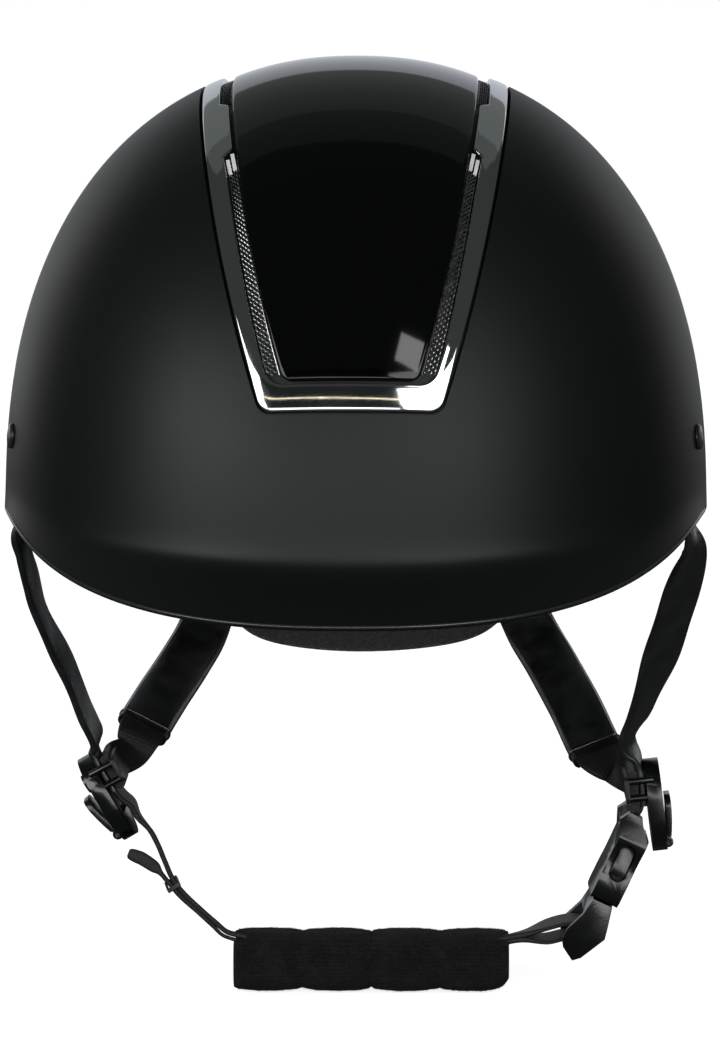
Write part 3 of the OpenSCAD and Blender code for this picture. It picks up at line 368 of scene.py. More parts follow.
def inner_r(t, z):
    """Radius of the shell's inside: the wall keeps its thickness where the peak slopes."""
    return dome_r(t, z, INNER) + peak_out(t, z) - WALL * (np.sqrt(1 + peak_steep(t, z) ** 2) - 1)


def ring_heights(t, top, low, dome_rings, skirt_rings):
    """Heights of the rings from next to the crown to the rim, even by angle on the dome: rings, azimuths."""
    end = np.degrees(np.arcsin((SKIRT_Z / top) ** (POWER / 2)))
    k = np.arange(1, dome_rings + 1) / dome_rings
    dome = top * sin(90 - (90 - end) * k) ** (2 / POWER)
    j = np.arange(1, skirt_rings + 1)[:, None] / skirt_rings
    skirt = SKIRT_Z + (low - SKIRT_Z)[None] * j
    return np.concatenate([np.repeat(dome[:, None], len(t), 1), skirt])


def dome_point(s, x, off):
    """Point of the dome at angle s in the side view and x from the middle plane, raised by off."""
    s, x, off = np.broadcast_arrays(np.asarray(s, float), x, off)
    b = np.where(cos(s) > 0, OUTER[1], OUTER[2])
    q = 1 - np.abs(x / OUTER[0]) ** POWER
    r = (q / (np.abs(cos(s) / b) ** POWER + np.abs(sin(s) / OUTER[3]) ** POWER)) ** (1 / POWER)
    p = np.stack([x, -r * cos(s), r * sin(s)], -1)
    size = np.stack([np.full_like(b, OUTER[0]), b, np.full_like(b, OUTER[3])], -1)
    normal = np.sign(p) * np.abs(p) ** (POWER - 1) / size ** POWER
    return p + off[..., None] * unit(normal)


print("rim at front, ear and nape, mm:", rim_z(np.array([0, 90, 180])).round(1).tolist())

# %% [markdown]
# ## Outline of the trim
# On the real helmet the frame, the recess it lies in, the panel and the meshes share one outline.
# Each could be drawn by itself and projected on the dome. One function for the outline is safer,
# because all of them stay in line when it changes. It gives a half width for each side view angle.

# %% Trim outline
TRIM_HALF, TRIM_FRONT, TRIM_REAR = 48.3, 17.6, 152.0
WIDEST, TAPER_SPAN, TAPER_POWER = 88, 97.5, 2.45
RAIL_W, RAIL_TAPER, BRIDGE_W = 5.8, 1.3, 8.5
BAR_DEG, PANEL_INSET, DEG_MM = 3.6, 9.2, 2.25
VENT_FRONT, VENT_REAR = (21.6, 55.4), (69.0, 147.8)
OUTER_CORNER, INNER_CORNER, PANEL_CORNER = 3, 4.5, 2.8
FRAME_T, GAP, TRIM_GAP = 2.2, 0.3, 0.6
RECESS = FRAME_T + GAP
MIDDLE_FROM, MIDDLE_TO = 27, 137


def trim_x(s):
    """Half width of the trim: widest over the crown and drawn in towards both ends by a power."""
    return TRIM_HALF * (1 - (np.abs(WIDEST - s) / TAPER_SPAN) ** TAPER_POWER)


def rail_at(s):
    """Width of a side rail: slimmer to the front, and broad where it bridges the two vents."""
    bridge = ramp((s - VENT_FRONT[1] + 0.6) / 1.6) * (1 - ramp((s - VENT_REAR[0] + 1.4) / 1.8))
    return RAIL_W - RAIL_TAPER * ramp((50 - s) / 32) + (BRIDGE_W - RAIL_W) * bridge


MIDDLE_STOPS = np.unique(np.concatenate([np.arange(MIDDLE_FROM, MIDDLE_TO + 0.1, 1.5),
                                         np.arange(54.4, 57.6, 0.25), np.arange(67, 70.3, 0.25)]))


def area_rows(s0, s1, r, inset):
    """Half widths of a trim area from its front end s0 to its rear end s1, with corners of radius r."""
    turn = np.linspace(0, 90, 10)[:-1]
    back, draw = r * (1 - cos(turn)) / DEG_MM, r * (1 - sin(turn))
    a, b = s0 + r / DEG_MM, s1 - r / DEG_MM
    mid = np.concatenate([np.linspace(a, MIDDLE_FROM, 5)[:-1], MIDDLE_STOPS,
                          np.linspace(MIDDLE_TO, b, 9)[1:]])
    s = np.concatenate([s0 + back, mid, (s1 - back)[::-1]])
    corner = np.concatenate([draw, np.zeros(len(mid)), draw[::-1]])
    return s, trim_x(s) - inset(s) - corner


def edge_walk(rows, cols):
    """The same area's edge as one closed walk of angle and distance."""
    s, x = rows
    t = np.linspace(-1, 1, cols + 1)
    return np.concatenate([np.stack([np.full(cols, s[0]), x[0] * t[:-1]], -1), np.stack([s, x], -1),
                           np.stack([np.full(cols - 1, s[-1]), -x[-1] * t[1:-1]], -1),
                           np.stack([s[::-1], -x[::-1]], -1)[:-1]])


print("trim half width at the front, crown and rear, mm:",
      trim_x(np.array([TRIM_FRONT, WIDEST, TRIM_REAR])).round(1).tolist())

# %% [markdown]
# ## Materials
# Node trees could be wired by hand, but a dozen finishes would then need hundreds of lines.
# Here a Wire stands for a value inside a node tree. Arithmetic on it adds Math nodes, and Tree.add
# puts in any other node from its type, its settings and its inputs.

# %% Node trees as arithmetic
class Wire:
    """A socket's value in a node tree, with the usual operators."""

    def __init__(self, tree, socket):
        self.tree, self.socket = tree, socket

    def math(self, operation, *others):
        """A Math node on this value and the others."""
        return self.tree.add("ShaderNodeMath", dict(operation=operation), dict(enumerate((self,) + others)))

    def __add__(self, other): return self.math("ADD", other)
    def __radd__(self, other): return self.math("ADD", other)
    def __sub__(self, other): return self.math("SUBTRACT", other)
    def __rsub__(self, other): return (self * -1) + other
    def __mul__(self, other): return self.math("MULTIPLY", other)
    def __rmul__(self, other): return self.math("MULTIPLY", other)
    def __neg__(self): return self * -1

    def ramp(self, low, high, to_low=0.0, to_high=1.0):
        """Smooth step from to_low to to_high while the value goes from low to high."""
        ends = {"From Min": low, "From Max": high, "To Min": to_low, "To Max": to_high}
        return self.tree.add("ShaderNodeMapRange", dict(interpolation_type="SMOOTHSTEP"),
                             {"Value": self, **ends})


# %% [markdown]
# ## One tree for each material
# Every finish starts as a Principled shader with its colour, its roughness and the inputs that stay
# the same all over. Node groups could hold the common patterns; here each tree is plain instead.
# Short methods add noise, cells, a mix of colours and relief where a finish needs them.

# %% A material's tree
class Tree:
    """One material's nodes. bsdf is its Principled shader."""

    def __init__(self, name, color, roughness, **sockets):
        self.material = bpy.data.materials.new(name)
        self.material.use_nodes = True
        self.nodes, self.links = self.material.node_tree.nodes, self.material.node_tree.links
        self.bsdf = self.nodes["Principled BSDF"]
        self.set("Base Color", color)
        self.set("Roughness", roughness)
        for key, value in sockets.items():
            self.set(key.replace("_", " "), value)

    def feed(self, socket, value):
        """Link a Wire to a socket, or write a number or colour on it."""
        if isinstance(value, Wire):
            self.links.new(value.socket, socket)
        elif hasattr(socket.default_value, "__len__") and not hasattr(value, "__len__"):
            socket.default_value = [value] * len(socket.default_value)
        elif hasattr(value, "__len__") and len(value) == 3 and len(socket.default_value) == 4:
            socket.default_value = (*value, 1.0)
        else:
            socket.default_value = value

    def set(self, key, value):
        """One input of the Principled shader."""
        self.feed(self.bsdf.inputs[key], value)

    def add(self, kind, settings=None, inputs=None, out=0):
        """Any node, and the Wire of its output out."""
        node = self.nodes.new(kind)
        for key, value in (settings or {}).items():
            setattr(node, key, value)
        for key, value in (inputs or {}).items():
            self.feed(node.inputs[key], value)
        return Wire(self, node.outputs[out])

    def place(self):
        """Object coordinates, in metres from the origin."""
        return self.add("ShaderNodeTexCoord", out="Object")

    def flat(self):
        """The piece's own flat map, in cm: along, across."""
        return self.split(self.add("ShaderNodeUVMap", dict(uv_map="flat")))[:2]

    def split(self, vector):
        """A vector's three parts."""
        node = self.nodes.new("ShaderNodeSeparateXYZ")
        self.links.new(vector.socket, node.inputs[0])
        return [Wire(self, socket) for socket in node.outputs]

    def noise(self, scale, detail, roughness=0.5):
        """Noise on object coordinates; scale is in waves for each metre."""
        return self.add("ShaderNodeTexNoise", {}, {"Vector": self.place(), "Scale": scale,
                                                   "Detail": detail, "Roughness": roughness})

    def cells(self, scale, feature="F1"):
        """Distance to the nearest cell's middle, or to its edge."""
        return self.add("ShaderNodeTexVoronoi", dict(feature=feature),
                        {"Vector": self.place(), "Scale": scale})

    def mix(self, share, a, b):
        """Colour a where share is 0, b where it is 1."""
        return self.add("ShaderNodeMix", dict(data_type="RGBA"), {0: share, 6: a, 7: b}, out=2)

    def gloss(self, scale, detail, low, high, start=0.3, stop=0.7):
        """Roughness that wanders from low to high with a noise."""
        self.set("Roughness", self.noise(scale, detail).ramp(start, stop, low, high))
        return self

    def bump(self, height, distance, strength):
        """Small relief: a height that tilts the surface's normal."""
        self.set("Normal", self.add("ShaderNodeBump", {}, {"Height": height, "Distance": distance,
                                                           "Strength": strength}))
        return self


# %% [markdown]
# ## Finishes
# The shell is lacquered matt black, the panel is deep gloss, the frame is smoked chrome, and the
# harness is leather, webbing, fleece and moulded plastic. Painted image textures could show all
# this, but they blur close up. Here noise and cells on object coordinates, in metres, give each
# finish its grain at its real scale, and the webbing's threads follow its own flat map.
# Black things differ mostly in gloss, so roughness varies more than colour does.

# %% Shell, panel and trim finishes
def shaded(color, share):
    """A colour times a share."""
    return tuple(share * c for c in color)


def matte_lacquer():
    """Black lacquer with a fine orange peel; slow changes of gloss as on a handled shell."""
    tree = Tree("matte_lacquer", (0.0030, 0.0042, 0.0034), 0.43, Specular_IOR_Level=0.26,
                Specular_Tint=(0.93, 1.0, 0.95, 1))
    tree.set("Roughness", tree.noise(9, 2).ramp(0.3, 0.7, 0.43, 0.49) + tree.noise(900, 2) * 0.03)
    return tree.bump(tree.noise(1400, 2) + tree.noise(420, 2) * 0.8, 0.00004, 0.35).material


def gloss_black():
    """Deep gloss moulding: smooth, with faint polishing haze."""
    tree = Tree("gloss_black", (0.0008, 0.0009, 0.0011), 0.05, Specular_IOR_Level=0.22,
                Coat_Weight=0.12, Coat_Roughness=0.03)
    return tree.gloss(14, 3, 0.045, 0.09, 0.35, 0.75).material


def smoked_chrome():
    """Dark plated trim with slight waviness from the mould."""
    tree = Tree("smoked_chrome", (0.43, 0.455, 0.46), 0.06, Metallic=0.987)
    return tree.gloss(60, 2, 0.04, 0.08, 0.3, 0.75).bump(tree.noise(45, 1), 0.0003, 0.06).material


def wire_metal(name, color):
    """Drawn wire: metal with streaks of gloss."""
    return Tree(name, color, 0.22, Metallic=1.0).gloss(700, 2, 0.16, 0.34).material


def rivet_lacquer():
    """Thick black lacquer on small metal heads."""
    tree = Tree("rivet_lacquer", (0.016, 0.017, 0.018), 0.28, Specular_IOR_Level=0.6)
    return tree.gloss(400, 3, 0.22, 0.36).bump(tree.noise(900, 2), 0.00003, 0.5).material


# %% [markdown]
# ## Plastic, foam and lining
# The harness mouldings are black plastic, whose mould texture and handling show as slow changes of
# gloss. The foam shows its beads and the lining its knit. One noise could serve all of them, but
# they would look alike. Cells give beads and stitches, and noise gives grain.

# %% Plastic, rubber, foam and lining
def dark_plastic(name, color, roughness):
    """Moulded plastic: fine texture and slow gloss changes."""
    tree = Tree(name, color, roughness, Specular_IOR_Level=0.5)
    tree.gloss(90, 3, roughness - 0.05, roughness + 0.07)
    return tree.bump(tree.noise(1500, 2) + tree.noise(260, 2) * 0.6, 0.00004, 0.5).material


def rubber():
    """Dull keeper rubber with a fine skin."""
    tree = Tree("keeper_rubber", (0.0055, 0.0055, 0.006), 0.6)
    return tree.gloss(300, 3, 0.5, 0.66).bump(tree.noise(1800, 2), 0.00005, 0.5).material


def foam_beads():
    """Moulded foam: packed beads with soft borders."""
    tree = Tree("foam_beads", (0.035, 0.036, 0.037), 0.72)
    beads = tree.cells(330)
    tree.set("Base Color", tree.mix(beads.ramp(0.2, 0.7), (0.042, 0.043, 0.044), (0.022, 0.023, 0.024)))
    return tree.bump(-beads, 0.0005, 0.7).material


def knit(name, color):
    """Lining cloth: small knitted dimples over object coordinates, with a soft sheen."""
    tree = Tree(name, color, 0.88, Sheen_Weight=0.35, Sheen_Roughness=0.5)
    dimples = tree.cells(900)
    tree.set("Base Color", tree.mix(dimples.ramp(0.1, 0.6), shaded(color, 1.5), shaded(color, 0.6)))
    return tree.bump(-dimples + tree.noise(60, 3) * 0.8, 0.0006, 0.6).material


# %% [markdown]
# ## Leather, webbing, thread and fleece
# Leather has creases and scuffs, webbing has ribs and warp threads, and fleece has tufts. Yarn
# could be modelled thread by thread, at a cost of millions of faces. Sines on the flat map bend
# with the strap and cost nothing, and the fleece's tufts are noise of several sizes.

# %% Leather, webbing, thread and fleece
def grained_leather(name, color, roughness):
    """Smooth strap leather: creased grain, faint scuffs, and a little gloss."""
    tree = Tree(name, color, roughness, Specular_IOR_Level=0.5)
    grain = tree.cells(1500, feature="DISTANCE_TO_EDGE").ramp(0.0, 0.2)
    scuff = tree.noise(130, 4)
    tree.set("Base Color", tree.mix(scuff.ramp(0.35, 0.7), color, shaded(color, 1.9)))
    tree.set("Roughness", scuff.ramp(0.3, 0.7, roughness - 0.07, roughness + 0.09))
    return tree.bump(grain * 0.5 + tree.noise(240, 3), 0.0001, 0.35).material


def woven_band(name, color):
    """Webbing on the flat map: ribs across, warp threads along, and a woven edge."""
    tree = Tree(name, color, 0.62, Specular_IOR_Level=0.35, Sheen_Weight=0.05, Sheen_Roughness=0.4)
    along, across = tree.flat()
    ribs = (along * 62.8).math("SINE")
    warp = (across * 78.5).math("SINE")
    odd = (along * 31.4 + across * 39.0).math("SINE")
    height = ribs * 0.5 + warp * 0.35 + odd * 0.3
    tree.set("Base Color", tree.mix(height.ramp(-0.8, 0.9), shaded(color, 0.65), shaded(color, 1.25)))
    return tree.bump(height + tree.noise(2500, 2) * 0.6, 0.0001, 0.6).material


def thread():
    """Waxed sewing thread."""
    tree = Tree("thread", (0.011, 0.0115, 0.0125), 0.6, Specular_IOR_Level=0.3)
    return tree.bump(tree.noise(4000, 2), 0.0001, 0.5).material


def fleece_pile():
    """Short black pile: tufts of many sizes over faint knitted rows, and a dark sheen."""
    tree = Tree("fleece_pile", (0.002, 0.002, 0.0024), 0.95, Specular_IOR_Level=0.2,
                Sheen_Weight=0.03, Sheen_Roughness=0.6)
    x, z = tree.split(tree.place())[::2]
    waver = tree.noise(260, 2) * 2.6
    rows, loops = (z * 5200 + waver).math("SINE"), (x * 7400 + waver).math("SINE")
    tufts = (tree.noise(900, 5, roughness=0.7) + tree.noise(160, 4) * 0.5
             + rows * 0.05 + loops * 0.03)
    tree.set("Base Color", tree.mix(tufts.ramp(0.62, 0.98), (0.0003, 0.0003, 0.0005),
                                    (0.0095, 0.0098, 0.0125)))
    return tree.bump(tufts, 0.0013, 1.0).material


# %% [markdown]
# ## Every finish by its name
# Pieces of one stuff share one material. One for each piece would let the two halves of a pair
# drift apart. Colours are linear values: black lacquer reflects less than a hundredth of the light.

# %% Every finish by its name
MATTE, GLOSS, CHROME, LACQUER = matte_lacquer(), gloss_black(), smoked_chrome(), rivet_lacquer()
WIRE = wire_metal("bright_wire", (0.34, 0.345, 0.35))
# Rear meshes' wire: the same metal as the front's, painted darker as shade for their dark slots.
PAINTED_SHADE_WIRE = wire_metal("wire_painted_shade", (0.08, 0.082, 0.085))
STEEL = Tree("steel", (0.42, 0.43, 0.44), 0.3, Metallic=1.0).gloss(600, 4, 0.22, 0.4).material
# Vent clips: chrome parts given a pale, mostly matt colour, so that the colour itself shows their glint: a
# painted highlight.
CLIP = Tree("clip_painted_glint", (0.8, 0.8, 0.8), 0.4, Metallic=0.3).material
PLASTIC = dark_plastic("harness_plastic", (0.0032, 0.0036, 0.0038), 0.19)
LEVER = dark_plastic("lever_plastic", (0.004, 0.0044, 0.0047), 0.26)
CLAMP = dark_plastic("clamp_plastic", (0.004, 0.0042, 0.0045), 0.5)
RUBBER, FOAMED = rubber(), foam_beads()
LINING = knit("lining_cloth", (0.016, 0.0165, 0.018))
LEATHER = grained_leather("strap_leather", (0.0072, 0.0078, 0.0086), 0.33)
SLEEVE = grained_leather("sleeve_leather", (0.0058, 0.0062, 0.0068), 0.36)
# Piping: real glossy cords. Their colour, lighter than the sleeve's leather, also paints part of the
# highlight line along the edges.
PIPING = Tree("piping", (0.02, 0.021, 0.023), 0.2, Specular_IOR_Level=1.0, Coat_Weight=0.5,
              Coat_Roughness=0.15).material
WEB = woven_band("webbing", (0.0055, 0.0058, 0.0062))
LINK_WEB = woven_band("link_webbing", (0.007, 0.0073, 0.0077))
THREAD, PILE = thread(), fleece_pile()
print("materials:", len(bpy.data.materials))

# %% [markdown]
# ## Shell
# The shell is one hard moulding of even wall. Solidify on a single skin could give the wall, but not
# the rounded lip. So outer and inner skins are grids of azimuth and height, joined by that lip.
# The recess for the trim, the air slots and the rivet holes are then cut out as the mould has them.
# A cut leaves odd faces beside it, so the dome's true normals are put back for a clean reflection.

# %% Shell skins and rim
def closed_bowl(outer, inner, top, bottom):
    """Skin from a crown point over outer rings, round the rim, and back up inner rings."""
    rings = np.concatenate([outer, inner[::-1]])
    k, m = rings.shape[:2]
    points = np.concatenate([rings.reshape(-1, 3), [top, bottom]])
    return points, [strip(k, m, wrap_cols=True), fan(k * m, np.arange(m), True),
                    fan(k * m + 1, (k - 1) * m + np.arange(m))]


AROUND, EDGE = 288, 1.0
AZIMUTHS = np.arange(AROUND) * 360 / AROUND
LIP_STEPS = np.radians(np.linspace(0, 180, 9))[1:-1, None, None]


def shell_rings():
    """Outer and inner rings of points; the lip is a half circle from one skin to the other."""
    low = rim_z(AZIMUTHS) + EDGE
    zo = ring_heights(AZIMUTHS, OUTER[3], low, 56, 30)
    zi = ring_heights(AZIMUTHS, INNER[3], low, 20, 12)
    outer = outer_skin(AZIMUTHS[None], zo)
    inner = at(AZIMUTHS[None], inner_r(AZIMUTHS[None], zi), zi)
    middle, reach = (outer[-1] + inner[-1]) / 2, (outer[-1] - inner[-1]) / 2
    lip = middle + reach * np.cos(LIP_STEPS) - np.array([0, 0, EDGE]) * np.sin(LIP_STEPS)
    return np.concatenate([outer, lip]), inner


outer_rings, inner_rings = shell_rings()
points, faces = closed_bowl(outer_rings, inner_rings, [0, 0, OUTER[3]], [0, 0, INNER[3]])
shell = fix_normals(piece("shell_skin", points, faces, material=MATTE))


print("shell skin:", len(shell.data.vertices), "points")

# %% [markdown]
# ## Recess, slots and rivet holes
# The mould leaves a recess for the trim, four slots for air and four holes for the rivets. They
# could be modelled into the grid, but then its rows would have to bend round each of them. Closed
# blocks and cylinders are taken out of the shell instead, once and for good.

# %% Cutters and the cut
def trim_area(name, rows, cols, low, high):
    """Closed block over an area of the dome, between two offsets from its surface."""
    s, x = rows
    t = np.linspace(-1, 1, cols + 1)
    grid = lambda off: dome_point(s[:, None], x[:, None] * t[None], off)
    return fix_normals(piece(name, *slab(grid(high), grid(low)), angle=0))


def outer_rows(grow):
    """The trim's outer outline, grown on all sides."""
    more = grow / DEG_MM
    return area_rows(TRIM_FRONT - more, TRIM_REAR + more, OUTER_CORNER + grow, lambda s: -grow + 0 * s)


HOLE_R, HOLE_LONG = 0.00225, 0.024  # in metres


def slot_cutter(name, span, hand):
    """Block through the shell under one vent, a little smaller than the mesh over it."""
    s = np.linspace(span[0] + 2, span[1] - 2, 40)[:, None]
    j = np.array([0.0, 1.0])[None]
    x = hand * (trim_x(s) - rail_at(s) - 0.5 - j * (PANEL_INSET - rail_at(s) - 1.0))
    return fix_normals(piece(name, *slab(dome_point(s, x, 2), dome_point(s, x, -11)), angle=0))


def cut(target, cutters):
    """Take closed cutters out of a closed target for good, and remove them."""
    for cutter in cutters:
        step = target.modifiers.new("cut", "BOOLEAN")
        step.operation, step.solver, step.object = "DIFFERENCE", "EXACT", cutter
    bpy.context.view_layer.update()
    shape = bpy.data.meshes.new_from_object(target.evaluated_get(bpy.context.evaluated_depsgraph_get()))
    target.modifiers.clear()
    target.data = shape
    for cutter in cutters:
        bpy.data.objects.remove(cutter)
    return target


def rivet_holes():
    """Cylinders for the rivets' holes, along the shell's normal at each."""
    r = float(dome_r(np.array(REAR_RIVET[0]), float(REAR_RIVET[1]), OUTER))
    y, z = FRONT_RIVET
    x = OUTER[0] * (1 - (-y / OUTER[1]) ** POWER - (z / OUTER[3]) ** POWER) ** (1 / POWER)
    back = (sin(REAR_RIVET[0]) * r, -cos(REAR_RIVET[0]) * r, REAR_RIVET[1])
    made = []
    for hand in (-1, 1):
        facing = math.degrees(math.atan2(back[1] / (OUTER[2] / OUTER[0]) ** 2, hand * back[0]))
        spots = (hand * x, y, z, 0 if hand > 0 else 180), (hand * back[0], *back[1:], facing)
        for px, py, pz, turn in spots:
            mesh = bpy.data.meshes.new("hole")
            work = bmesh.new()
            bmesh.ops.create_cone(work, cap_ends=True, segments=32, radius1=HOLE_R, radius2=HOLE_R,
                                  depth=HOLE_LONG,
                                  matrix=Matrix.Translation((px / 1000, py / 1000, pz / 1000))
                                  @ Matrix.Rotation(math.radians(turn), 4, "Z")
                                  @ Matrix.Rotation(math.pi / 2, 4, "Y"))
            work.to_mesh(mesh)
            work.free()
            hole = bpy.data.objects.new("hole", mesh)
            bpy.context.scene.collection.objects.link(hole)
            made.append(hole)
    return made


cut(shell, [trim_area("recess", outer_rows(TRIM_GAP), 24, -RECESS, 6),
            slot_cutter("slot_a", VENT_FRONT, -1), slot_cutter("slot_b", VENT_FRONT, 1),
            slot_cutter("slot_c", VENT_REAR, -1), slot_cutter("slot_d", VENT_REAR, 1), *rivet_holes()])
print("shell with recess, slots and holes:", len(shell.data.polygons), "faces")


# %% [markdown]
# ## True normals
# A matt shell shows every dent in its shading. Smooth shading averages the faces beside a cut and
# leaves dark smears there. More faces would help a little; the formula's own slope is exact.

# %% The dome's own normals
ON_DOME, ON_SKIRT, SAME_SIDE = 0.0022, 0.06, 0.93


def true_normals(obj):
    """Give corners on the shell's outside the formula's normal: the cross product of its two slopes."""
    mesh = obj.data
    mesh.shade_smooth()
    mesh.set_sharp_from_angle(angle=math.radians(35))
    co = np.zeros(len(mesh.vertices) * 3)
    mesh.vertices.foreach_get("co", co)
    co = co.reshape(-1, 3) * 1000
    t = np.degrees(np.arctan2(co[:, 0], -co[:, 1]))
    z = np.minimum(co[:, 2], OUTER[3] * 0.9999)
    skin = outer_skin(t, z)
    along_t = outer_skin(t + 0.02, z) - outer_skin(t - 0.02, z)
    along_z = outer_skin(t, z + 0.01) - outer_skin(t, z - 0.01)
    normal = unit(np.cross(along_t, along_z))
    steep = co[:, 2] > SKIRT_Z
    half_y = np.where(co[:, 1] < 0, OUTER[1], OUTER[2])
    size = np.stack([np.full(len(co), OUTER[0]), half_y, np.full(len(co), OUTER[3])], -1)
    dome = unit(np.sign(co) * np.abs(co) ** (POWER - 1) / size ** POWER)
    normal = np.where(steep[:, None], dome, normal)
    value = np.sum((np.abs(co) / size) ** POWER, 1)
    on_skin = np.where(steep, np.abs(value - 1) < ON_DOME, np.linalg.norm(co - skin, axis=1) < ON_SKIRT)
    on_skin &= co[:, 2] > rim_z(t) + EDGE * 0.9
    loops = np.zeros(len(mesh.loops), int)
    mesh.loops.foreach_get("vertex_index", loops)
    own = np.zeros(len(mesh.loops) * 3, np.float32)
    mesh.corner_normals.foreach_get("vector", own)
    own = own.reshape(-1, 3)
    good = on_skin[loops] & (np.sum(own * normal[loops], 1) > SAME_SIDE)
    mesh.normals_split_custom_set(np.where(good[:, None], normal[loops], own).tolist())
    return int(good.sum())


print("corners with true normals:", true_normals(shell), "of", len(shell.data.loops))
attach(shell, "helmet")
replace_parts(shell, "outer_shell")

# %% [markdown]
# ## Bead along the peak
# The photo shows a thin glossy line along the peak's lower edge, where the lacquer gathers. Paint
# could fake it, but a real bead catches light from any side. It is a ring of small sections that
# follows the shell's last outer ring, and it fades to a fifth behind the temples.

# %% Bead along the peak's edge
BEAD_R, BEAD_SIDES = 0.6, 8
turned = (AZIMUTHS + 180) % 360 - 180
present = 1 - ramp((np.abs(turned) - 66) / 18)
a = np.arange(BEAD_SIDES) * 2 * math.pi / BEAD_SIDES
outwards = at(AZIMUTHS, np.ones(AROUND), 0 * AZIMUTHS)
upwards = np.array([0, 0, 1.0])
bead_mid = outer_rings[-8] - outwards * (0.62 - 0.2 * present)[:, None] + 0.45 * upwards
bead = (bead_mid[:, None] + BEAD_R * present[:, None, None].clip(0.2, 1)
        * (outwards[:, None] * np.cos(a)[:, None] + upwards * np.sin(a)[:, None]))
fix_normals(piece("peak_bead", bead.reshape(-1, 3), strip(AROUND, BEAD_SIDES, True, True), angle=80,
                  body="helmet", slot="matte_shell", material=LACQUER))
print("bead radius, mm:", BEAD_R, "in front and", round(0.2 * BEAD_R, 2), "behind")

# %% [markdown]
# ## Trim frame
# The frame is a plated moulding that lies in the shell's recess round the panel. A bevelled curve
# could follow the edge, but its width can't change along the rails. So its section is carried from
# the inner to the outer outline: a broad, slightly bowed face between narrow rounded shoulders,
# whose widths in millimetres stay the same all round. The face mirrors the studio as the photo shows.

# %% Frame round the panel
INNER_EDGE = np.array([[0, -2.2], [0, -0.5], [0.04, -0.24], [0.14, -0.07], [0.32, 0.01], [0.8, 0.04]])
FACE = np.array([[0.3, 0.08], [0.5, 0.1], [0.7, 0.08]])
OUTER_EDGE = np.array([[1.1, 0.05], [0.7, -0.02], [0.42, -0.15], [0.2, -0.36], [0.06, -0.62],
                       [0, -0.95], [0, -2.2]])
BAR_STEPS = 26


def frame_rings():
    """Section at each step of the edge, as shares of the way from the inner to the outer outline."""
    outside = edge_walk(outer_rows(0), BAR_STEPS)
    inside = edge_walk(area_rows(TRIM_FRONT + BAR_DEG, TRIM_REAR - BAR_DEG, INNER_CORNER, rail_at),
                       BAR_STEPS)
    width = np.linalg.norm((outside - inside) * [DEG_MM, 1], axis=1)[:, None]
    share = np.concatenate([INNER_EDGE[:, 0] / width, np.repeat(FACE[None, :, 0], len(width), 0),
                            1 - OUTER_EDGE[:, 0] / width], 1)
    height = np.concatenate([INNER_EDGE[:, 1], FACE[:, 1], OUTER_EDGE[:, 1]])
    mix = inside[:, None] + (outside - inside)[:, None] * share[..., None]
    return dome_point(mix[..., 0], mix[..., 1], np.broadcast_to(height[None], share.shape))


rings = frame_rings()
trim = fix_normals(piece("trim_band", rings.reshape(-1, 3),
                         strip(*rings.shape[:2], True, True), angle=50, body="helmet",
                         slot="smoked_chrome", material=CHROME))
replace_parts(trim, "trim_frame")
print("trim frame, rings and points in each:", rings.shape[:2])

# %% [markdown]
# ## Gloss panel
# The centre panel is a thin gloss moulding, slightly crowned, whose border rolls down into the
# frame. A bevel on a flat plate gives a sharp roll. Here the grid's rows crowd near the border,
# and the roll is a quarter circle in the distance from the nearest edge.

# %% Gloss panel with rolled edges
PANEL_FRONT = VENT_FRONT[0] - 0.3 + TRIM_GAP / DEG_MM
PANEL_REAR = VENT_REAR[1] + 0.6 - TRIM_GAP / DEG_MM
PANEL_RISE, PANEL_DROP, ROLL = 0.62, 2.1, 0.9


def panel_grids():
    """Upper and lower grid: the crown falls off with the square of the distance from the middle."""
    s, x = area_rows(PANEL_FRONT, PANEL_REAR, PANEL_CORNER, lambda s: PANEL_INSET + 0 * s)
    edge = 1 - np.array([0, 0.15, 0.4, 0.75, 1.2, 1.8, 2.6]) / 24
    t = np.concatenate([-edge, np.linspace(-0.86, 0.86, 27), edge[::-1]])
    reach = x[:, None] * (1 - np.abs(t))[None]
    ends = np.minimum(np.abs(s - s[0]), np.abs(s[-1] - s))[:, None] * DEG_MM
    near = np.minimum(reach, ends)
    roll = 1.0 - np.sqrt(np.clip(1 - (1 - np.clip(near / ROLL, 0, 1)) ** 2, 0, 1))
    crowned = PANEL_RISE - PANEL_DROP * (np.abs(x[:, None] * t) / TRIM_HALF) ** 2
    return (dome_point(s[:, None], x[:, None] * t, crowned - ROLL * roll),
            dome_point(s[:, None], x[:, None] * t, -RECESS + GAP))


panel = fix_normals(piece("gloss_panel", *slab(*panel_grids()), angle=50, body="helmet", slot="gloss_panel",
                          material=GLOSS))
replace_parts(panel, "top_panel")
print("panel from", round(PANEL_FRONT, 1), "to", round(PANEL_REAR, 1), "degrees in the side view")

# %% [markdown]
# ## Vent meshes and clips
# Air enters between panel and rails through metal mesh. The rear meshes are the same wire, but
# their colour is a darker copy of it: painted shade for their slots, which look dark at the crown.
# An image with holes could stand for the mesh, but it is seen close to and glints. Zigzag wires
# lie side by side and touch at every other turn, as expanded metal does. Two bent clips hold each
# front mesh's upper end: small tabs that climb from the mesh to the panel's level. They are chrome;
# their pale, mostly matt colour is a painted glint.

# %% Vent meshes and clips
TOUCH, WIRE_SINK, WEAVE_LIFT = 0.46, 0.62, 0.16


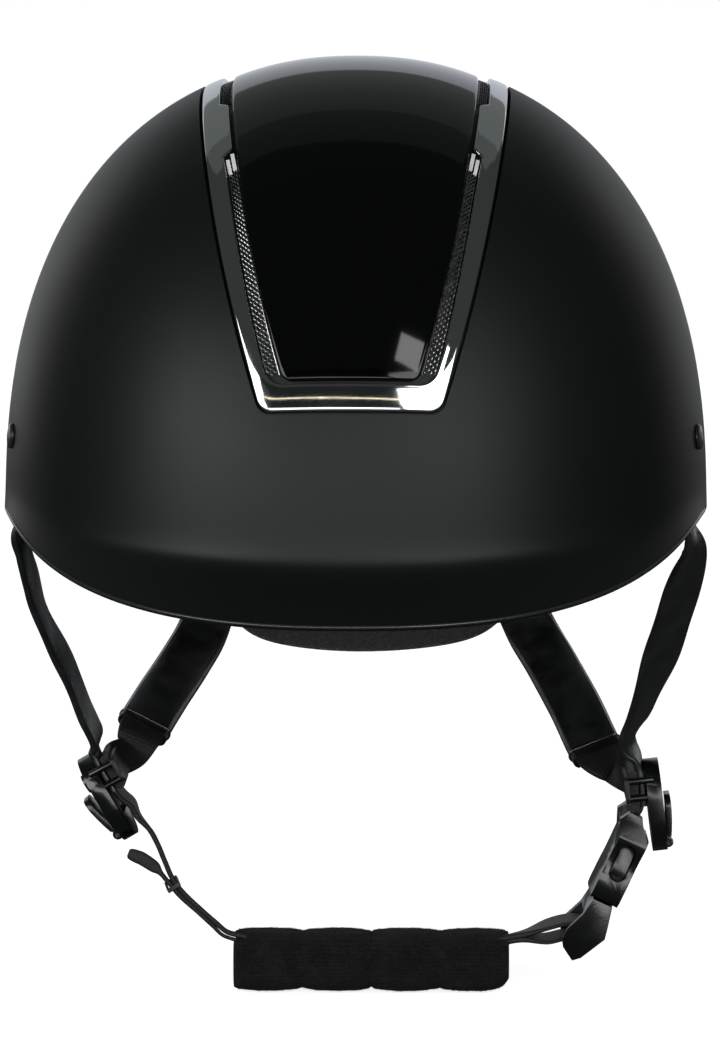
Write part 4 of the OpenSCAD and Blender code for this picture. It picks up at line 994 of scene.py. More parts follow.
def vent_wires(name, span, hand, strands, pitch, radius, finish):
    """Zigzag wires side by side: a mix of a sine and a saw, mirrored from each wire to the next."""
    length = (span[1] - span[0]) * DEG_MM
    turns = int(length / pitch)
    fine = np.linspace(0, turns, turns * 4 + 1)
    s = span[0] + 0.9 + (span[1] - span[0] - 1.8) * fine / turns
    swing = np.arcsin(np.sin(np.pi * fine)) / (np.pi / 2)
    swing = np.sin(np.pi * (fine % 2 - 0.5)) * 0.55 + swing * 0.45
    rail = rail_at(s)
    wide = PANEL_INSET - rail - 2 * GAP
    k = np.arange(strands)[:, None]
    v = (k + 0.5 + TOUCH * swing[None] * (-1) ** k) / strands
    height = -RECESS + WIRE_SINK + WEAVE_LIFT * np.cos(np.pi * fine)[None] * (-1) ** k
    place = lambda share, off: dome_point(s[None], hand * (trim_x(s) - rail - GAP - wide * share), off)
    paths, edge = place(v, height), place(np.array([[0.03], [0.97]]), -RECESS + 0.6)
    points, faces = tubes(np.concatenate([paths, edge]), radius, unit(paths[:1]), 5)
    return fix_normals(piece(name, points, faces, angle=70, body="helmet", slot="mesh", material=finish))


VENT_SIDES = (("left", 1), ("right", -1))
for side_name, hand in VENT_SIDES:
    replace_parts(vent_wires("front_mesh_" + side_name, VENT_FRONT, hand, 4, 0.9, 0.15, WIRE),
                "vent_mesh_front_" + side_name)
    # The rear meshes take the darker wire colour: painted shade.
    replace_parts(vent_wires("rear_mesh_" + side_name, VENT_REAR, hand, 5, 1.0, 0.14, PAINTED_SHADE_WIRE),
                "vent_mesh_rear_" + side_name)


CLIP_AT, CLIP_FOOT, CLIP_RISE, CLIP_T = 53.0, -1.55, 1.35, 0.4


def vent_clip(name, hand, near, far, s0, s1):
    """A bent tab from s0 to s1; near and far are shares of the vent's width, counted from the rail."""
    s, share = np.linspace(s0, s1, 9)[:, None], np.linspace(near, far, 5)[None]
    rail = rail_at(np.array(CLIP_AT))
    x = hand * (trim_x(s) - rail - GAP - (PANEL_INSET - rail - 2 * GAP) * share)
    top = CLIP_FOOT + CLIP_RISE * ((s - s0) / (s1 - s0)) ** 0.8 + 0 * share
    fix_normals(piece(name, *slab(dome_point(s, x, top), dome_point(s, x, top - CLIP_T)), body="helmet",
                      slot="mesh", material=CLIP))


for side_name, hand in VENT_SIDES:
    vent_clip("vent_clip_%s_a" % side_name, hand, 0.58, 0.98, 52.6, 55.2)
    vent_clip("vent_clip_%s_b" % side_name, hand, 0.04, 0.42, 52.0, 54.2)
print("trim pieces done")

# %% [markdown]
# ## Foam liner
# The liner is the thick bowl of beaded foam that takes a blow, with channels in its outside where
# the straps run up to their rivets. A boolean could cut the channels; a smooth dip in the radius
# has the rounded edges that moulded foam has.

# %% Foam liner with strap channels
FOAM_EDGE, FOAM_GAP, CHANNEL_DEEP, FOAM_AROUND = 0.6, 0.15, 6.4, 144


def foam_rim(t):
    """Height of the liner's lower edge: it follows the shell's rim, a little higher."""
    u = fold(t)
    return 1.5 - 5 * (1 - ramp(u / PEAK_END)) - (NAPE_DROP - 2) * ramp((u - NAPE_FROM) / NAPE_SPAN)


def channel(t, z):
    """Depth of the strap channels: smooth steps up and down in azimuth, and down with height."""
    u = fold(t)
    front = ramp((u - 46) / 12) * (1 - ramp((u - 88) / 12)) * (1 - ramp((z - 40) / 14))
    rear = ramp((u - 138) / 9) * (1 - ramp((u - 167) / 8)) * (1 - ramp((z - 20) / 14))
    return CHANNEL_DEEP * (front + rear)


def foam_rings():
    """Outer and inner rings of the foam, and its blunt lower edge."""
    t = np.arange(FOAM_AROUND) * 360 / FOAM_AROUND
    low = foam_rim(t) + FOAM_EDGE
    zo, zi = ring_heights(t, FOAM[3], low, 24, 8), ring_heights(t, HEAD[3], low, 24, 8)
    outer = at(t[None], dome_r(t[None], zo, FOAM) - channel(t[None], zo) - FOAM_GAP, zo)
    inner = at(t[None], dome_r(t[None], zi, HEAD) + FOAM_GAP, zi)
    middle, reach = (outer[-1] + inner[-1]) / 2, (outer[-1] - inner[-1]) / 2
    flat = np.sign(np.cos(LIP_STEPS)) * np.abs(np.cos(LIP_STEPS)) ** 0.4
    lip = middle + reach * flat - np.array([0, 0, FOAM_EDGE]) * np.sin(LIP_STEPS)
    return np.concatenate([outer, lip]), inner


foam_outer, foam_inner = foam_rings()
points, faces = closed_bowl(foam_outer, foam_inner, [0, 0, FOAM[3] - FOAM_GAP],
                            [0, 0, HEAD[3] + FOAM_GAP])
foam = fix_normals(piece("foam_bowl", points, faces, body="helmet", slot="foam", material=FOAMED))
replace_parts(foam, "foam_liner")
print("foam at the crown, mm:", round(FOAM[3] - HEAD[3] - 2 * FOAM_GAP, 1))

# %% [markdown]
# ## Comfort band
# A quilted band of cloth over soft foam runs round the head. Cloth simulation could swell each
# block, but the foam holds this band to the liner on one side and its seams are regular. So the
# swell is a formula: blocks that bulge between sewn seams, with fine wrinkles across them.

# %% Quilted comfort band
BAND_T, BAND_H, BAND_AROUND, BAND_SECTION = 6.0, 34.0, 432, 28


def band_rings():
    """Blocks swell as a sine between seams every 30 degrees, and one seam runs round the middle."""
    t = np.arange(BAND_AROUND)[:, None] * 360 / BAND_AROUND
    a = np.arange(BAND_SECTION)[None] * 2 * math.pi / BAND_SECTION
    up = 0.5 - 0.5 * np.sign(np.cos(a)) * np.abs(np.cos(a)) ** 0.7
    deep = np.abs(np.sin(a)) ** 0.55 * (np.sin(a) > 0)
    block = np.abs(sin(t * 6)) ** 0.35
    seam = 1 - 0.45 * np.exp(-((up - 0.62) / 0.035) ** 2)
    wrinkle = 0.03 * sin(t * 48 + 40 * up)
    z = foam_rim(t) + 1 + BAND_H * up
    r = dome_r(t, z, HEAD) - 0.5 - BAND_T * deep * (0.62 + 0.38 * block) * seam * (0.97 + wrinkle)
    return at(t, r, z)


rings = band_rings()
band = fix_normals(piece("comfort_ring", rings.reshape(-1, 3), strip(*rings.shape[:2], True, True),
                         angle=70, body="helmet", slot="lining", material=LINING))
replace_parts(band, "comfort_band")
print("comfort band, blocks:", 360 // 30, "height, mm:", BAND_H)

# %% [markdown]
# ## Crown pad, nape band and peak lining
# These three are cloth over thin foam, sewn at the edge. All could start from a plane with a
# pressure simulation, but each hugs a curved face that a formula already gives. One helper makes
# them: a function of u and v from -1 to 1 places both faces, and the swell fades at the edge.

# %% Crown pad, nape band and peak lining
def pillow(name, place_at, count, node):
    """Sheet between two grids that place_at gives for its two faces."""
    line = np.linspace(-1, 1, count)
    u, v = np.meshgrid(line, line, indexing="ij")
    obj = fix_normals(piece(name, *slab(place_at(u, v, 0), place_at(u, v, 1)), angle=70, body="helmet",
                            slot="lining", material=LINING))
    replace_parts(obj, node)
    return obj


def crown_face(u, v, deep):
    """Pad under the crown: an oval that follows the head's dome, with three sewn lines."""
    x, y = 42 * u * np.sqrt(1 - v * v / 2), 60 * v * np.sqrt(1 - u * u / 2)
    edge = np.maximum(np.abs(u), np.abs(v))
    b = np.where(y < 0, HEAD[1], HEAD[2])
    z = HEAD[3] * (1 - np.abs(x / HEAD[0]) ** POWER - np.abs(y / b) ** POWER) ** (1 / POWER)
    seams = 1 - 0.4 * np.exp(-(u / 0.05) ** 2) - 0.3 * np.exp(-((np.abs(v) - 0.5) / 0.04) ** 2)
    swell = (1 - edge ** 6) * seams
    return np.stack([x, y, z - 0.9 - (0.5 + 6.2 * swell) * deep], -1)


def nape_face(u, v, deep):
    """Band that hangs at the nape, bowed round the head, with two sewn lines."""
    x = 48 * u + 2.5 * u * u
    w = (v + 1) / 2
    z = foam_rim(np.array(180.0)) - 7.6 - 34 * w * (1 - 0.12 * u * u - 0.22 * u ** 8) + 4 * u * u
    y = 120.4 - 0.0043 * x * x - 10.4 * w
    seams = 1 - 0.5 * np.exp(-((np.abs(u) - 0.62) / 0.03) ** 2)
    swell = (1 - np.abs(v) ** 6) * (1 - np.abs(u) ** 10) * seams
    return np.stack([x, y - (0.3 + 3.6 * swell) * (1 - deep), z], -1)


def lining_face(u, v, deep):
    """Lining under the peak: from the foam's edge to the shell's, faintly ruffled."""
    t = 48.4 * u
    down = (v + 1) / 2
    top = foam_rim(t) - 0.6
    z = top + (rim_z(t) + 1.3 - top) * down
    ruffle = 0.12 * sin(t * 20) * sin(down * 180)
    thick = 0.55 + (1.5 + ruffle) * deep * (1 - 0.6 * np.abs(v) ** 8)
    return at(t, inner_r(t, z) - thick * np.sqrt(1 + peak_steep(t, z) ** 2), z)


pillow("crown_cushion", crown_face, 61, "crown_pad")
pillow("nape_cushion", nape_face, 61, "nape_band")
pillow("brow_lining", lining_face, 81, "peak_lining")
print("liner pieces done")

# %% [markdown]
# ## Where the straps run
# Flat straps hang from four rivets and meet at the dividers below the ears. A cloth simulation
# would sag them at random; a strap under tension takes a smooth line. So each is a list of
# stations, taken from the same places as the CAD node: a point, the way the width points, and
# how thick and wide the strap is there. The lower ones are given in the divider's own frame.

# %% Stations of the straps
def yaw(a):
    """Level unit direction turned by a degrees from straight back."""
    return [math.sin(math.radians(a)), math.cos(math.radians(a)), 0]


def beside(middle, tilt, mirror, x, z, y=5.0):
    """A place in a divider's own frame, carried to the helmet's frame."""
    x = -x if mirror else x
    c, s = math.cos(math.radians(tilt)), math.sin(math.radians(tilt))
    return [middle[0] + x * c + z * s, y, middle[1] - x * s + z * c]


LEFT_DIVIDER, LEFT_TILT, RIGHT_DIVIDER, RIGHT_TILT = (-81.1, -98.2), -30.8, (97.1, -100.4), -6.6
PER_SPAN = 12  # points for each span between two stations
left_at = lambda x, z, y=5.0: beside(LEFT_DIVIDER, LEFT_TILT, True, x, z, y)
right_at = lambda x, z, y=5.0: beside(RIGHT_DIVIDER, RIGHT_TILT, False, x, z, y)
STRAP_W, STRAP_T, SLEEVE_W, SLEEVE_T, WEB_W, WEB_T = 18.0, 2.2, 17.8, 4.6, 15.5, 1.2


def station(place, hint, thick=1.0, wide=1.0):
    """One row for curve: place, width direction, and the section's shares of thickness and width."""
    return [*place, *hint, thick, wide]


def under_shell(y, z):
    """Distance from the middle plane at which a strap lies just inside the shell."""
    b = INNER[1] if y < 0 else INNER[2]
    left = 1 - abs(y / b) ** POWER - (max(z, 0) / INNER[3]) ** POWER
    return INNER[0] * left ** (1 / POWER) - 1.1 - STRAP_T / 2


def front_stations(hand, rows):
    """From above the front rivet, down inside the shell, and on through the stated rows."""
    top = [(-48.3, 31, 13), (*FRONT_RIVET, 12.5), (-41, 12.5, 11), (-36.8, 0.5, 9)]
    return curve([station((hand * under_shell(y, z), y, z), yaw(hand * a)) for y, z, a in top]
                 + [station(row[:3], yaw(row[3])) for row in rows], PER_SPAN)


LEFT_FRONT = [(-105.8, -36.4, -5, 5), (-105.1, -33.4, -11.4, 5), (-103.3, -28.5, -21, 5),
              (-100.3, -20.5, -34.9, 5), (-92.6, -8.5, -55, 7.5), (-88.2, -1, -68.5, 6), (-85, 3.6, -78, 4),
              (*left_at(-4.0, 15), 0), (*left_at(-3.65, 8.5), 0), (*left_at(-3.7, 1.2), 0)]
RIGHT_FRONT = [(105.2, -35.6, -6, 8), (105.8, -32.5, -14.6, 30), (103, -25, -28, 40),
               (98, -13, -48.5, 40), (92.2, -3, -68, 24), (88.6, 3, -78.5, 15),
               (*right_at(-4.0, 15), 5), (*right_at(-3.65, 8.5), 0), (*right_at(-3.7, 1.2), 0)]


def rear_top(hand):
    """Stations down the shell's inside at the rear rivet's azimuth."""
    t, z = REAR_RIVET[0], np.array([14.0, 4, -7, -16, -24])
    r = dome_r(np.full(5, t), z, INNER) - 1.4 - STRAP_T / 2
    return [station((hand * sin(t) * a, -cos(t) * a, b), (1, -0.49 * hand, 0)) for a, b in zip(r, z)]


LEFT_UP = (-math.sin(math.radians(LEFT_TILT)), 0, -math.cos(math.radians(LEFT_TILT)))
RIGHT_UP = (math.sin(math.radians(RIGHT_TILT)), 0, math.cos(math.radians(RIGHT_TILT)))
CLAMP_STOPS = ((-7.4, 7.4, 18.6), (-6.5, 7, 14), (-6.5, 7, 4), (-6.5, 7, -3.4))
LEFT_REAR = [(-48, 112.2, -31.5, 1, 0.44, 0), (-50, 111.4, -42, 1, 0.34, -0.1),
             (-54.4, 106, -57.6, 0.94, 0.2, -0.3), (-60, 87, -66.5, 0.9, 0.1, -0.42),
             (-66.2, 58, -73.8, 0.9, 0, -0.45), (-71.3, 30, -80.3, 0.89, 0, -0.45)]
LEFT_END = [(-74.2, 24.6, -86.4, 0.74, 0, -0.68), *((*left_at(*q), *LEFT_UP) for q in CLAMP_STOPS)]
RIGHT_REAR = [(47, 112.4, -31.5, 1, -0.44, 0), (51.6, 110.8, -42, 1, -0.34, 0.1),
              (58.6, 105, -57, 0.94, -0.2, 0.3), (65.4, 85, -66.5, 0.85, 0.2, 0.4),
              (72.8, 56, -77, 0.66, 0.5, 0.5), (79.4, 28, -87.8, 0.48, 0.7, 0.53)]
RIGHT_END = [(85.4, 24, -91.6, 0.2, 0.5, 0.84), *((*right_at(*q), *RIGHT_UP) for q in CLAMP_STOPS)]
END_WIDE, END_THICK = 0.78, 1.34


def rear_stations(hand, rows, last):
    """The whole rear strap: narrower at its end, and thicker in the clamp, where it is doubled."""
    end = [station(q[:3], q[3:], 1 if k < 2 else END_THICK, END_WIDE) for k, q in enumerate(last)]
    return curve(rear_top(hand) + [station(q[:3], q[3:]) for q in rows] + end, PER_SPAN)


# %% [markdown]
# ## Stitches
# Lines of thread run along both edges of the leather. A stitch texture looks flat from the side.
# Each stitch here is a small capsule whose ends dip into the leather, a few faces each, because
# there are hundreds of them.

# %% Stitches along a band
THREAD_R, STITCH_PITCH, STITCH_HALF, STITCH_SINK = 0.26, 2.9, 0.36, 0.34


def stitches(name, stations, offset, lift, start, stop):
    """A running stitch on one face of a band; a thread sinks with the cube of the way from its middle."""
    place, along, wide, thick = band_frame(stations)
    run = arc_length(place)
    mid = np.arange(start + STITCH_PITCH / 2, run[-1] - stop, STITCH_PITCH)
    pick = lambda q: np.stack([np.interp(mid, run, q[:, k]) for k in range(3)], -1)
    scale = np.interp(mid, run, stations[:, 7])[:, None]
    p, d, w, n = pick(place), unit(pick(along)), unit(pick(wide)), unit(pick(thick))
    t = np.linspace(-STITCH_HALF, STITCH_HALF, 7) * STITCH_PITCH
    sink = STITCH_SINK * (np.abs(t) / (STITCH_HALF * STITCH_PITCH)) ** 3
    paths = ((p + w * offset * scale)[:, None] + d[:, None] * t[:, None]
             + n[:, None] * (lift - np.sign(lift) * sink)[:, None])
    points, faces = tubes(paths, THREAD_R, n[:, None], flatten=0.8)
    return fix_normals(piece(name, points, faces, angle=80, body="harness", slot="strap_leather",
                             material=THREAD))

# %% [markdown]
# ## Front straps
# Two layers of leather are sewn together ahead of each ear. A box with rounded corners would look
# like plastic. The section swept here is pressed in at both seams, bellies out a little between
# them, and wanders slowly along its length as a worn strap does. It swings with the harness.

# %% Front straps
SEAM_AT, SEAM_PRESS, BELLY, WANDER = 6.9, 0.22, 0.08, 0.25


def leather_shape(across, through, run):
    """Thickness dips at the seams and swells between them; a sine moves the whole strap a little."""
    press = 1 - SEAM_PRESS * np.exp(-((np.abs(across) - SEAM_AT) / 0.45) ** 2)
    belly = 1 + BELLY * (1 - (across / SEAM_AT) ** 2).clip(0, 1)
    most = np.exp(-((run - run.max() * 0.6) / (run.max() * 0.3)) ** 2)
    return across, through * press * belly + WANDER * np.sin(run * 0.21 + across * 0.1) * most


strap_section = soft_section(STRAP_W, STRAP_T, 0.8)
for side_name, hand, rows in (("left", -1, LEFT_FRONT), ("right", 1, RIGHT_FRONT)):
    stations = front_stations(hand, rows)
    strap = fix_normals(piece("front_leather_" + side_name, *sweep(stations, strap_section, leather_shape),
                              angle=70, body="harness", slot="strap_leather", material=LEATHER))
    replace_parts(strap, "front_strap_" + side_name)
    sewn = stations[3 * PER_SPAN:-PER_SPAN]
    for letter, offset in (("a", -SEAM_AT), ("b", SEAM_AT)):
        for face, lift in (("o", 0.86), ("i", -0.86)):
            stitches("front_stitch_%s_%s%s" % (side_name, letter, face), sewn, offset, lift, 1, 5)
    print("front strap", side_name, "length, mm:", round(float(arc_length(stations[:, :3])[-1])))

# %% [markdown]
# ## Rear straps and their sleeves
# Behind the ears runs webbing inside a stitched leather sleeve with rolled, shiny edges. The
# sleeve is two skins, an outer one with a lapped seam and an inner one, joined at both rims.

# %% Rear straps and their sleeves
SWING_START, SWING_END = (-0.048, 0.112, -0.03), (-0.074, 0.03, -0.084)
SWING_START_R, SWING_END_R = (0.047, 0.112, -0.03), (0.082, 0.03, -0.088)
rear_section = soft_section(WEB_W, STRAP_T, 0.7)
SLEEVE_WALL = 0.65


def sleeve_mesh(way, name):
    """A pressed leather tube round the strap, open at both ends, with a lapped seam near one edge."""
    outer = soft_section(SLEEVE_W, SLEEVE_T, 2.0)
    inner = soft_section(SLEEVE_W - 2 * SLEEVE_WALL, SLEEVE_T - 2 * SLEEVE_WALL, 1.5)

    def fold_over(across, through, run):
        """A soft step for the lap, a dent along the middle, and slow waves."""
        lap = 0.42 / (1 + np.exp(-(across - 5.4) / 0.16)) * (through < 0)
        sag = 1 - 0.10 * np.exp(-(across / 4.5) ** 2)
        wave = 0.10 * np.sin(run * 0.33 + across * 0.3) * np.exp(-((run - run.max() * 0.5) / 30) ** 2)
        return across, through * sag - lap + wave * (np.abs(through) > 1.2)

    place, _, wide, thick = band_frame(way)
    run = arc_length(place)[:, None]
    skins = []
    for section, shape in ((outer, fold_over), (inner, lambda a, b, c: (a, b))):
        across = np.repeat(section[None, :, 0], len(way), 0)
        through = np.repeat(section[None, :, 1], len(way), 0)
        across, through = shape(across, through, run)
        skins.append((place[:, None] + wide[:, None] * across[..., None]
                      + thick[:, None] * through[..., None], across))
    n, m = skins[0][1].shape
    points = np.concatenate([skins[0][0].reshape(-1, 3), skins[1][0].reshape(-1, 3)])
    j = np.arange(m)
    rims = [np.stack([a + j, a + (j + 1) % m, b + (j + 1) % m, b + j], -1)
            for a, b in ((0, n * m), ((n - 1) * m, n * m + (n - 1) * m))]
    faces = [strip(n, m, wrap_cols=True), strip(n, m, wrap_cols=True, start=n * m)[:, ::-1], *rims]
    length = np.repeat(run, m, 1)
    flat_map = np.concatenate([np.stack([length, skins[k][1]], -1).reshape(-1, 2) for k in (0, 1)])
    return fix_normals(piece(name, points, faces, flat_map, angle=60, slot="strap_leather", material=SLEEVE))


# %% [markdown]
# ## Piping, and the rear straps put together
# The sleeve's edges are rolled over a cord and shine. A thin bevel would show no roll, so three
# cords run along the edges and one goes round the lower hem. Then each side gets its webbing,
# sleeve, stitches and piping on one line.

# %% Piping and rear straps
PIPES, PIPE_R, HEM_R = ((-7.6, 2.1), (7.9, 1.95), (-7.6, -2.1)), 0.34, 0.36


def piping(name, way, hand):
    """Rolled edges of a sleeve: three cords along its edges and one ring round the lower hem."""
    place, along, wide, thick = band_frame(way)
    sides = [place + wide * offset * hand + thick * deep for offset, deep in PIPES]
    long_points, long_faces = tubes(np.stack(sides), PIPE_R, thick[None])
    section = soft_section(SLEEVE_W + 0.2, SLEEVE_T + 0.2, 2.0)
    loop = np.concatenate([section, section[:1]])
    k = len(place) - 3
    hem = place[k] + wide[k] * loop[:, :1] + thick[k] * loop[:, 1:]
    hem_points, hem_faces = tubes(hem[None], HEM_R, along[k])
    points = np.concatenate([long_points, hem_points])
    faces = long_faces + [block + len(long_points) for block in hem_faces]
    return fix_normals(piece(name, points, faces, angle=80, slot="strap_leather", material=PIPING))


for side_name, hand, rows, last, start, end in (
        ("left", -1, LEFT_REAR, LEFT_END, SWING_START, SWING_END),
        ("right", 1, RIGHT_REAR, RIGHT_END, SWING_START_R, SWING_END_R)):
    way = rear_stations(hand, rows, last)
    strap = fix_normals(piece("rear_webbing_" + side_name, *sweep(way, rear_section), angle=70,
                              slot="webbing", material=WEB))
    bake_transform(strap)
    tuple(start)
    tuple(end)
    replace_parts(strap, "rear_strap_" + side_name)
    tube_way = way[5 * PER_SPAN:10 * PER_SPAN + 1]
    sleeve = sleeve_mesh(tube_way, "rear_leather_" + side_name)
    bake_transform(sleeve)
    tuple(start)
    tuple(end)
    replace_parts(sleeve, "rear_sleeve_" + side_name)
    seam = stitches("sleeve_stitch_" + side_name, tube_way, -7.2 * hand, -2.2, 1.5, 1.5)
    edging = piping("sleeve_piping_" + side_name, tube_way, hand)
    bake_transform(edging)
    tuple(start)
    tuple(end)
    seam.parent = None
    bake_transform(seam)
    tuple(start)
    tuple(end)
print("straps done")

# %% [markdown]
# ## Chin webbing
# The thin webbing hangs edge on to the photo's camera. Its tail is folded thick at the end and held
# by the rubber keeper; on the other side one band runs through the pad and round the tongue's bar.
# A flat plane bent by a curve modifier would twist at the turns. A closed section swept along
# stations keeps its width level, and leans a little where the photo shows the webbing turned.

# %% Webbing stations
WEB_Z, HALF_GAP = -144.4, 0.75
LEAN = (0.055, -0.2)


def lean_at(x):
    """Width direction of the webbing: straight back at both ends and leaning between them."""
    k = float(ramp((x + 75) / 7) * (1 - ramp((x - 50) / 14)))
    return (k * (-LEAN[0] if x < -20 else 0 if x < 20 else LEAN[0] / 2), 1, k * LEAN[1])


def flat_row(x, z, thick=1.0, hint=None):
    """A station in the chin webbing's own plane."""
    return station((x, 5, z), hint or lean_at(x), thick)


spot = lambda q: (q[0], q[2])
WEB_LEFT = [*(spot(left_at(*q)) for q in ((-3.6, 6), (-3.7, 2), (-4.4, -2.6), (-5.6, -6.2))),
            (-71.2, -104.8), (-67.5, -109.4), (-64.9, -114.3), (-62.9, -119.2), (-60.2, -125.4),
            (-56.6, -130.3), (-50.6, -136.1), (-46.2, -140), (-43.1, -142.7), (-40.5, WEB_Z + 0.6),
            (-36, WEB_Z - 0.4)]
TAIL = [(-74.6, -117, 1.8), (-74.2, -117.15, 2.6), (-73.4, -117.5, 3.2), (-72, -118.1, 3.5),
        (-70, -119, 3.6), (-66.4, -121.4, 3.2), (-64.5, -123.2, 1.5), (-61.3, -127.0, 1.3),
        (-57.5, -131.5, 1.3), (-51.5, -137.0, 1.2), (-47.3, -141.0, 1.1), (-44.2, -144.0, 1),
        (-41, WEB_Z - 1.0, 1), (-36, WEB_Z - 2.2, 1)]
web_section = soft_section(WEB_W, WEB_T, 0.5)
left_way = curve([flat_row(*q, 1.4) for q in WEB_LEFT], PER_SPAN)
left_web = fix_normals(piece("chin_webbing_left", *sweep(left_way, web_section), angle=70,
                             slot="webbing", material=WEB))
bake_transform(left_web)
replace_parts(left_web, "chin_web_left")
tail_way = curve([flat_row(*q, hint=(-LEAN[0], 1, LEAN[1])) for q in TAIL], PER_SPAN)
tail = fix_normals(piece("chin_tail", *sweep(tail_way, web_section), angle=70, slot="webbing",
                         material=WEB))
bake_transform(tail)
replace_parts(tail, "web_tail")
print("left webbing and tail, mm:",
      [round(float(arc_length(line[:, :3])[-1])) for line in (left_way, tail_way)])

# %% [markdown]
# ## Band through the pad
# One band runs through the pad, round the bar of the buckle's tongue and back, and a short one
# ties the buckle's housing to the right divider. Their turns could be drawn point by point; as
# arcs about the bars, in the buckle's own frame, they stay true when its place or tilt changes.

# %% Band through the pad and round the tongue
BUCKLE_FOOT, BUCKLE_TILT, TONGUE_L, LINK_R = (72.3, -146.8), 25.5, 17.9, 2.4


def in_buckle(x, z):
    """A place in the buckle's own frame, carried to the helmet's: x and z."""
    c, s = math.cos(math.radians(BUCKLE_TILT)), math.sin(math.radians(BUCKLE_TILT))
    return BUCKLE_FOOT[0] + c * x + s * z, BUCKLE_FOOT[1] - s * x + c * z


bar = in_buckle(0, 6.4)
TURN = 1.5 + GAP + WEB_T / 2
sag_z = lambda x: WEB_Z - 6.4 * float(ramp((49.5 - abs(x - 4.8)) / 22))  # low inside the pad
STOPS = (-40.2, -34, -28, -18, 0, 18, 34, 40, 47, 54)
rows = ([(x, sag_z(x) - HALF_GAP) for x in STOPS[2:]]
        + [(62, WEB_Z - HALF_GAP + 0.1), (68, bar[1] - TURN - 0.3)]
        + [(bar[0] + TURN * cos(a), bar[1] + TURN * sin(a)) for a in range(-90, 91, 10)]
        + [(68.4, bar[1] + TURN - 0.2), (62, WEB_Z + 3.9), (55, WEB_Z + HALF_GAP + 0.3)]
        + [(x, sag_z(x) + HALF_GAP) for x in STOPS[:1:-1] if x < 50])
chin_way = curve([flat_row(float(x), float(z), 1.5 if 44 < x < 60 else 1.0) for x, z in rows], 4)
chin_band = fix_normals(piece("chin_webbing", *sweep(chin_way, web_section), angle=70,
                              body="chin_strap", slot="webbing", material=WEB))
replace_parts(chin_band, "chin_web")
link_mid = in_buckle(-2.6, TONGUE_L + 24 + 3.5)
link_rows = ([(link_mid[0] + LINK_R * cos(a), link_mid[1] + LINK_R * sin(a)) for a in range(30, -241, -10)]
             + [spot(right_at(-6, -1.2)), spot(right_at(-4.4, 1.2)), spot(right_at(-3.7, 6))])
link_way = curve([flat_row(float(x), float(z)) for x, z in link_rows], 4)
link = fix_normals(piece("housing_webbing", *sweep(link_way, web_section), angle=70, body="harness",
                         slot="webbing", material=LINK_WEB))
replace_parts(link, "housing_web")
print("band through the pad, there and back, mm:", round(float(arc_length(chin_way[:, :3])[-1])))

# %% [markdown]
# ## Fleece chin pad
# The pad is a fleece tube with soft filling, sewn across into four lobes, with blunt gathered ends
# and a slot for the webbing. Cloth with pressure could swell it, but the four lobes, the flat
# front and the ends in the photo are regular. So its rings are worked out: a rounded square that
# grows and shrinks along the pad, with small lumps.

# %% Chin pad
PAD_MID, PAD_L, PAD_H, PAD_D = (4.8, 5.0, -151.3), 89.0, 20.8, 26.0
PAD_STEPS, PAD_SIDES = 150, 72


def pad_rings():
    """Rings along the pad: each lobe swells as a root of a sine, and the ends draw in."""
    u = (np.arange(PAD_STEPS + 1) / PAD_STEPS)[:, None]
    a = np.arange(PAD_SIDES)[None] * 2 * math.pi / PAD_SIDES
    lobe = np.maximum(np.abs(np.sin(u * math.pi * 4)) ** 0.42, 0.8 * (np.minimum(u, 1 - u) < 0.125))
    swell = 0.86 + 0.14 * lobe
    end = 1 - 0.09 * np.exp(-np.minimum(u, 1 - u) * PAD_L / 1.2)
    c, d = np.cos(a), np.sin(a)
    low_end = 1 - 0.34 * (d < 0) * np.exp(-(1 - u) * PAD_L / 2.2)
    y = PAD_D / 2 * np.sign(c) * np.abs(c) ** 0.66 * (0.5 + 0.5 * swell) * end
    z = (PAD_H / 2 - 1.7 * (d > 0)) * np.sign(d) * np.abs(d) ** 0.7 * swell * end * low_end
    lump = 0.35 * np.sin(u * 61 + 3 * c) * np.sin(3 * a + u * 23)
    x = np.broadcast_to((u - 0.5) * (PAD_L + 0.6), y.shape)
    return np.stack([PAD_MID[0] + x, PAD_MID[1] + y * (1 + 0.012 * lump), PAD_MID[2] + z + 0.25 * lump], -1)


rings = pad_rings()
n, m = rings.shape[:2]
tips = [[rings[0, 0, 0] + 0.2, *PAD_MID[1:]], [rings[-1, 0, 0] - 0.2, *PAD_MID[1:]]]
pad = fix_normals(piece("fleece_pad", np.concatenate([rings.reshape(-1, 3), tips]),
                        [strip(n, m, wrap_cols=True), fan(n * m, np.arange(m), True),
                         fan(n * m + 1, (n - 1) * m + np.arange(m))], angle=80, slot="fleece", material=PILE))
slot_rows = curve([flat_row(x, sag_z(x), hint=lean_at(x)) for x in (-46.0, *STOPS)], 3)
slot_points, slot_faces, _ = sweep(slot_rows, soft_section(WEB_W + 1.2, 3.3, 0.6))
cut(pad, [fix_normals(piece("pad_slot", slot_points, slot_faces, angle=0))])
pad.data.shade_smooth()
pad.data.set_sharp_from_angle(angle=math.radians(60))
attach(pad, "chin_strap")
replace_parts(pad, "chin_pad")
print("pad's length, height and depth, mm:", PAD_L, PAD_H, PAD_D)

# %% [markdown]
# ## Pile on the pad
# Short fibres break the pad's outline. Blender's hair could grow them, but it doesn't survive the
# export as a mesh. So each fibre is one quad and one triangle, rooted a little under the skin,
# with a seeded lean and bow, and the finer tufts between them are a bump in the material.

# %% Pile fibres on the pad
FIBRE_COUNT, FIBRE_LONG, FIBRE_SEED, FIBRE_HALF = 20000, 0.55, 7, 0.07


